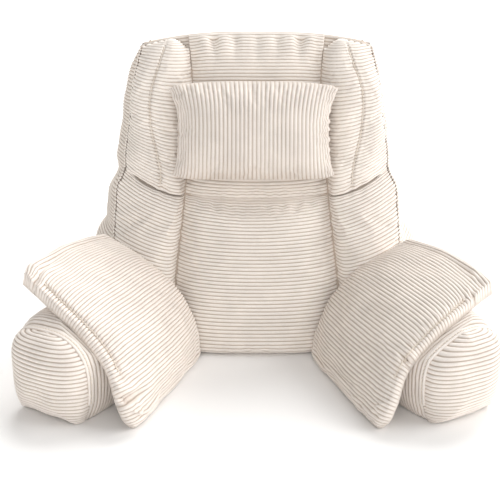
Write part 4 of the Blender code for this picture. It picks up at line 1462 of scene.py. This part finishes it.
class PILLOW_OT_head_pillow(bpy.types.Operator):
    """Makes the small pillow that hangs in front, its wales upright."""

    bl_idname = "reading_pillow.head_pillow"
    bl_label = "Head pillow"

    def execute(self, context):
        settings = context.scene.reading_pillow
        dense = np.linspace(0.0, 1.0, 1201)
        line = pillow_front(np.full((1, dense.size), 0.5), dense[None, :])[0]
        run = run_length(line)
        share = np.linspace(0.0, 1.0, round(run[-1] / settings.head_wale * HEAD_WALE_COLUMNS) + 1)
        share = np.interp(share * run[-1], run, dense)
        up = eased(FINE_STEPS["head"])
        rows, columns = np.meshgrid(up, share, indexing="ij")
        front, back = pillow_skins(rows, columns)
        straight = carried_on(front[..., 0], line[:, 0], run / settings.head_wale)
        fanned = np.interp(columns, dense, run / settings.head_wale)
        wale = STRAIGHT_SHARE * straight + (1 - STRAIGHT_SHARE) * fanned
        front = swollen(pillow_front, up, share, SETTLING_STEPS["head"], slack=0.016)
        ends = np.minimum(rows, 1 - rows)
        edge = smooth_step(np.minimum(ends, np.minimum(columns, 1 - columns)) / HEAD_EDGE_SHARE)
        left, right = seam_distances(front)
        relief = puckers("head_left", front[..., 2], left) + puckers("head_right", front[..., 2], right)
        relief += puckers("head_ends", front[..., 0], ends * HEAD_LENGTH) + uneven("head", front)
        relief = relief * edge + fold_relief(front, pillow_front, HEAD_FOLDS)
        tip = corner_tip(rows, np.abs(2 * columns - 1), HEAD_TIP)
        inward = tip[..., None] * np.stack([np.sign(1 - 2 * columns), 0 * tip, 0 * tip - 1], -1) * HEAD_TIP_IN
        front, rise, _ = corded(front + inward, wale, settings.pile_depth * edge, extra=relief)
        back, back_rise, _ = corded(back + inward, wale, -settings.pile_depth * edge)
        cloth = cloth_of(settings, "pillow_corduroy")
        piece = closed_pair("head_cushion", front, back, (rise, back_rise), cloth)
        finish_piece(piece, ["head_pillow"])
        return {"FINISHED"}


class PILLOW_OT_arms(bpy.types.Operator):
    """Makes each arm: its roll, its puffy end cap and the saddle pad over it."""

    bl_idname = "reading_pillow.arms"
    bl_label = "Arms"

    def roll(self, settings, arm):
        """The roll, its wales round it: rings of the squarish round carried along the arm."""
        dense = np.linspace(0.0, 1.0, 801)
        line = arm_points(dense, np.zeros_like(dense), np.full_like(dense, ROLL_CENTRE_HEIGHT))
        station, wale = wale_lines(line, dense, settings.wale)
        angle = 2 * np.pi * (np.arange(ROLL_SPOKES) + 0.5)[None, :] / ROLL_SPOKES
        across, height = roll_rings(station, angle, arm)
        points = mirrored(arm_points(station[:, None], across, height), arm.side)
        around = np.arctan2(across, height) * ROLL_RADIUS
        relief = puckers("roll", around, (1 - station)[:, None] * ARM_LENGTH, arm.seed) - ROLL_DRAWN_IN
        points, rise, _ = corded(points, wale[:, None] + 0 * across, settings.pile_depth, True, relief)
        points = above_floor(points)
        rows, count = points.shape[:2]
        faces = grid_faces(rows, count, around=True).tolist()
        faces += [list(range(count))[::-1], list(range((rows - 1) * count, rows * count))]
        piece = add_mesh("roll_" + arm.word, points, faces, cloth_of(settings, "arm_corduroy"), rise)
        finish_piece(piece, ["bolster_" + arm.word])

    def cap_seam(self, settings, arm):
        """The double welt of the cap's seam round the roll's front end, with stitches between the two."""
        angle = np.linspace(-CAP_SEAM_PAST, np.pi + CAP_SEAM_PAST, 260)
        across, height = roll_rings(np.array([1.0]), angle[None, :], arm)
        ring = np.stack([across[0], height[0]], -1)
        ring = ring[ring[:, 1] > CAP_SEAM_CLEAR]
        spoke = unit(ring - (0.0, ROLL_CENTRE_HEIGHT))
        flip = (arm.side, 1, 1)
        for word, forward, proud in CAP_SEAM_LINES:
            seam = ring + proud * spoke
            path = arm_points(1.0, seam[:, 0], seam[:, 1], forward)
            outward = arm_points(1.0, seam[:, 0] + spoke[:, 0], seam[:, 1] + spoke[:, 1], forward) - path
            if word == "cap_stitches_":
                topstitch(settings, word + arm.word, path, outward, arm.side)
            else:
                cloth = cloth_of(settings, "arm_corduroy")
                welt = tube(word + arm.word, path * flip, outward * flip, CAP_WELT_RADIUS, cloth)
                finish_piece(welt, [])

    def cap(self, settings, arm):
        """The end cap, its wales level: rows at even steps up its dome, each from side to side of the seam.
        It domes as a power of how far a point lies from the middle towards the seam."""
        outline_angle = 2 * np.pi * np.arange(721)[None, :] / 720 - np.pi / 2
        across, height = roll_rings(np.array([1.0]), outline_angle, arm)
        top = height.max()
        middle = top / 2
        outline_angle = np.unwrap(np.arctan2(height[0] - middle, across[0]))
        outline_reach = np.hypot(across[0], height[0] - middle)

        def half_outline(part):
            order = np.argsort(height[0][part])
            return height[0][part][order], across[0][part][order]

        outer_half = half_outline(slice(0, 361))
        inner_half = half_outline(slice(360, 721))

        def skin(up, across_share):
            """up and across_share run from 0 to 1 over the cap's face."""
            level = (1 - np.cos(np.pi * up)) / 2 * top
            sideways = 2 * across_share - 1
            half = np.where(sideways > 0, np.interp(level, *outer_half), -np.interp(level, *inner_half))
            x = sideways * half
            direction = (np.arctan2(level - middle, x) + np.pi / 2) % (2 * np.pi) - np.pi / 2
            reach = np.interp(direction, outline_angle, outline_reach)
            size = np.clip(np.hypot(x, level - middle) / reach, 0, 1)
            dome = np.sqrt(np.clip(1 - size**CAP_ROUNDNESS, 0, 1))
            return arm_points(1.0, x, level, GAP + CAP_START * np.minimum(1, dome * 4) + CAP_BULGE * dome)

        dense = np.linspace(0.0, 1.0, 801)
        share, wale = wale_lines(skin(dense, np.full_like(dense, 0.5)), dense, settings.wale)
        columns = (1 - np.cos(np.pi * np.linspace(0, 1, FINE_STEPS["cap"] + 1))) / 2
        blown = {"slack": 0.02, "most": 0.005, "pressure": 4.0}
        points = swollen(skin, share, columns, SETTLING_STEPS["cap"], **blown)
        near = np.minimum(*seam_distances(points))
        relief = puckers("cap", points[..., 2], near, arm.seed)
        relief += uneven("cap", points, arm.seed) * smooth_step(near / CAP_SMOOTH_RIM)
        relief += fold_relief(points, skin, CAP_FOLDS[arm.word])
        relief = relief if arm.side > 0 else relief[:, ::-1]
        wale = wale[:, None] + 0 * columns
        points, rise, _ = corded(mirrored(points, arm.side), wale, settings.pile_depth, extra=relief)
        points = above_floor(points)
        rows, count = points.shape[:2]
        faces = grid_faces(rows, count).tolist()
        faces.append(rim_of(rows, count)[::-1].tolist())
        piece = add_mesh("end_cushion_" + arm.word, points, faces, cloth_of(settings, "arm_corduroy"), rise)
        finish_piece(piece, ["end_cap_" + arm.word])

    def pad(self, settings, arm):
        """The saddle pad, its wales along the arm: lines of one share across, from the backrest to the front.
        The grid runs from the outer edge to the foot, so that it faces up."""

        def upper_skin(row, column):
            return pad_skins(row, column, arm)[0]

        dense = np.linspace(0.0, 1.0, 1201)
        line = upper_skin(np.full((1, dense.size), PAD_WALE_LINE), dense[None, :])[0]
        share, wale = wale_lines(line, dense, settings.wale)
        coarse = np.linspace(0.0, PAD_FINE_FROM, PAD_ROWS[0])
        along = np.concatenate([coarse, np.linspace(PAD_FINE_FROM, 1.0, PAD_ROWS[1])[1:]])
        rows, columns = np.meshgrid(along, share, indexing="ij")
        lower = pad_skins(rows, columns, arm)[1]
        upper = swollen(upper_skin, along, share, SETTLING_STEPS["pad"], slack=0.014)
        inward = PAD_TIP_IN[arm.word] * unit(upper[PAD_TIP_TOWARDS] - upper[-1, -1])
        inward = inward * corner_tip(rows, columns, PAD_TIP)[..., None]
        upper = upper + inward
        lower = lower + inward
        behind, ahead = (grid.T for grid in seam_distances(upper.swapaxes(0, 1)))
        rim = np.minimum(np.minimum(behind, ahead), np.minimum(*seam_distances(upper)))
        on = smooth_step((columns - PAD_LINE_START) / PAD_LINE_FADES[0])
        on = on * smooth_step((PAD_LINE_ENDS[arm.word] - columns) / PAD_LINE_FADES[1])
        flange = PAD_FLANGES[arm.word]
        behind_rim = smooth_step((flange - ahead) / PAD_FLANGE_FADES[0])
        flat = PAD_FLANGE_LOW * behind_rim * smooth_step(ahead / PAD_FLANGE_FADES[1])
        groove = PAD_GROOVE_DEPTH * (bell(ahead - flange, PAD_GROOVE_WIDTH) + flat)
        relief = on * (puckers("pad", columns * PAD_WIDTH, ahead - flange, arm.seed) - groove)
        relief = (relief + uneven("pad", upper, arm.seed)) * smooth_step(rim / PAD_SMOOTH_RIM)
        relief += fold_relief(upper, upper_skin, PAD_FOLDS[arm.word])
        relief = np.maximum(relief, PAD_LEAST - np.linalg.norm(upper - lower, axis=-1))
        sewn = on * bell(ahead - flange, PAD_SEWN_WIDTH)
        depth = settings.pile_depth * smooth_step(rim / PAD_WALE_RIM) * (1 - PAD_SEWN_FLAT * sewn)

        def turned(grid):
            """The grid with its columns from the outer edge, as the right-hand piece faces."""
            return grid[:, ::-1] if arm.side > 0 else grid

        upper = turned(upper) * (arm.side, 1, 1)
        lower = turned(lower) * (arm.side, 1, 1)
        wale = turned(wale[None, :] + 0 * rows)
        upper, rise, folded = corded(upper, wale, turned(depth), extra=turned(relief))
        cloth = cloth_of(settings, "arm_corduroy")
        rises = (rise, 0 * rise + PAD_LOWER_PILE)
        piece = closed_pair("arm_cushion_" + arm.word, above_floor(upper), lower, rises, cloth)
        finish_piece(piece, ["arm_pad_" + arm.word])
        kept = turned(on)[0] > 0.5
        path = across_line(folded[:, kept].swapaxes(0, 1), flange)
        nearest = np.abs(turned(ahead)[:, kept].T - flange).argmin(1)
        outward = normals_of(folded)[:, kept].swapaxes(0, 1)
        outward = np.take_along_axis(outward, nearest[:, None, None], 1)[:, 0]
        path = path + PAD_STITCH_PROUD * outward
        topstitch(settings, "pad_stitches_" + arm.word, path, outward, 1.0)

    def execute(self, context):
        settings = context.scene.reading_pillow
        for arm in ARMS:
            self.roll(settings, arm)
            self.cap_seam(settings, arm)
            self.cap(settings, arm)
            self.pad(settings, arm)
        return {"FINISHED"}


class PILLOW_OT_stage(bpy.types.Operator):
    """Sets the pale floor, the soft lights and the camera at the photograph's angle."""

    bl_idname = "reading_pillow.stage"
    bl_label = "Studio"

    def window(self, name, strength, direction, colour):
        """The even light of a big soft window, going in one direction and softly spread."""
        light = bpy.data.lights.new(name, "SUN")
        light.energy = strength
        light.angle = LIGHT_SPREAD
        light.color = colour
        pane = bpy.data.objects.new(name, light)
        pane.rotation_euler = Vector(direction).to_track_quat("-Z", "Y").to_euler()
        bpy.context.scene.collection.objects.link(pane)

    def execute(self, context):
        stage = context.scene.reading_pillow_stage
        scene = context.scene
        signs = np.array([(-1, -1, 0), (1, -1, 0), (1, 1, 0), (-1, 1, 0)], float)
        corners = FLOOR_HALF * signs - (0, 0, FLOOR_DROP)
        paint = {"Base Color": hex_colour(stage.floor_white), "Roughness": 0.8}
        floor = add_mesh("floor", corners, [[0, 1, 2, 3]], new_material("painted_white_floor", paint)[0])
        world = bpy.data.worlds.new("white_room")
        world.use_nodes = True
        background = world.node_tree.nodes["Background"]
        background.inputs[0].default_value = (1.0, 0.998, 0.996, 1.0)
        background.inputs[1].default_value = stage.room_light
        scene.world = world
        self.window("rear_window", stage.rear_strength, (-0.25, -0.90, -0.75), (1.0, 0.998, 0.992))
        self.window("side_window", stage.side_strength, (-1.00, 0.00, -0.60), (1.0, 0.995, 0.985))
        self.window("front_window", stage.front_strength, (0.00, 1.00, -0.55), (1.0, 0.995, 0.985))
        camera = bpy.data.cameras.new("camera")
        camera.sensor_width = SENSOR_WIDTH
        camera.lens = stage.focal_length
        camera.shift_x = CAMERA_SHIFT
        holder = bpy.data.objects.new("camera", camera)
        holder.location = stage.camera_place
        aim = Vector(stage.camera_aim) - Vector(stage.camera_place)
        holder.rotation_euler = aim.to_track_quat("-Z", "Y").to_euler()
        scene.collection.objects.link(holder)
        scene.camera = holder
        scene.view_settings.view_transform = "Standard"
        return {"FINISHED"}


class PILLOW_PT_sidebar(bpy.types.Panel):
    """Lists the pillow's pieces and its settings."""

    bl_label = "Reading pillow"
    bl_idname = "PILLOW_PT_sidebar"
    bl_space_type = "VIEW_3D"
    bl_region_type = "UI"
    bl_category = "Reading pillow"

    def draw(self, context):
        for group in (context.scene.reading_pillow, context.scene.reading_pillow_stage):
            for name in group.__annotations__:
                self.layout.prop(group, name)
        for operator in OPERATORS:
            self.layout.operator(operator.bl_idname)


OPERATORS = (
    PILLOW_OT_backrest,
    PILLOW_OT_panels,
    PILLOW_OT_head_pillow,
    PILLOW_OT_arms,
    PILLOW_OT_stage,
)
CLASSES = (ReadingPillowSettings, ReadingPillowStage, *OPERATORS, PILLOW_PT_sidebar)


def register():
    for cls in CLASSES:
        bpy.utils.register_class(cls)
    bpy.types.Scene.reading_pillow = PointerProperty(type=ReadingPillowSettings)
    bpy.types.Scene.reading_pillow_stage = PointerProperty(type=ReadingPillowStage)


def unregister():
    del bpy.types.Scene.reading_pillow_stage
    del bpy.types.Scene.reading_pillow
    for cls in reversed(CLASSES):
        bpy.utils.unregister_class(cls)


def main():
    register()
    for operator in OPERATORS:
        group, name = operator.bl_idname.split(".")
        getattr(getattr(bpy.ops, group), name)()


if __name__ == "__main__":
    main()
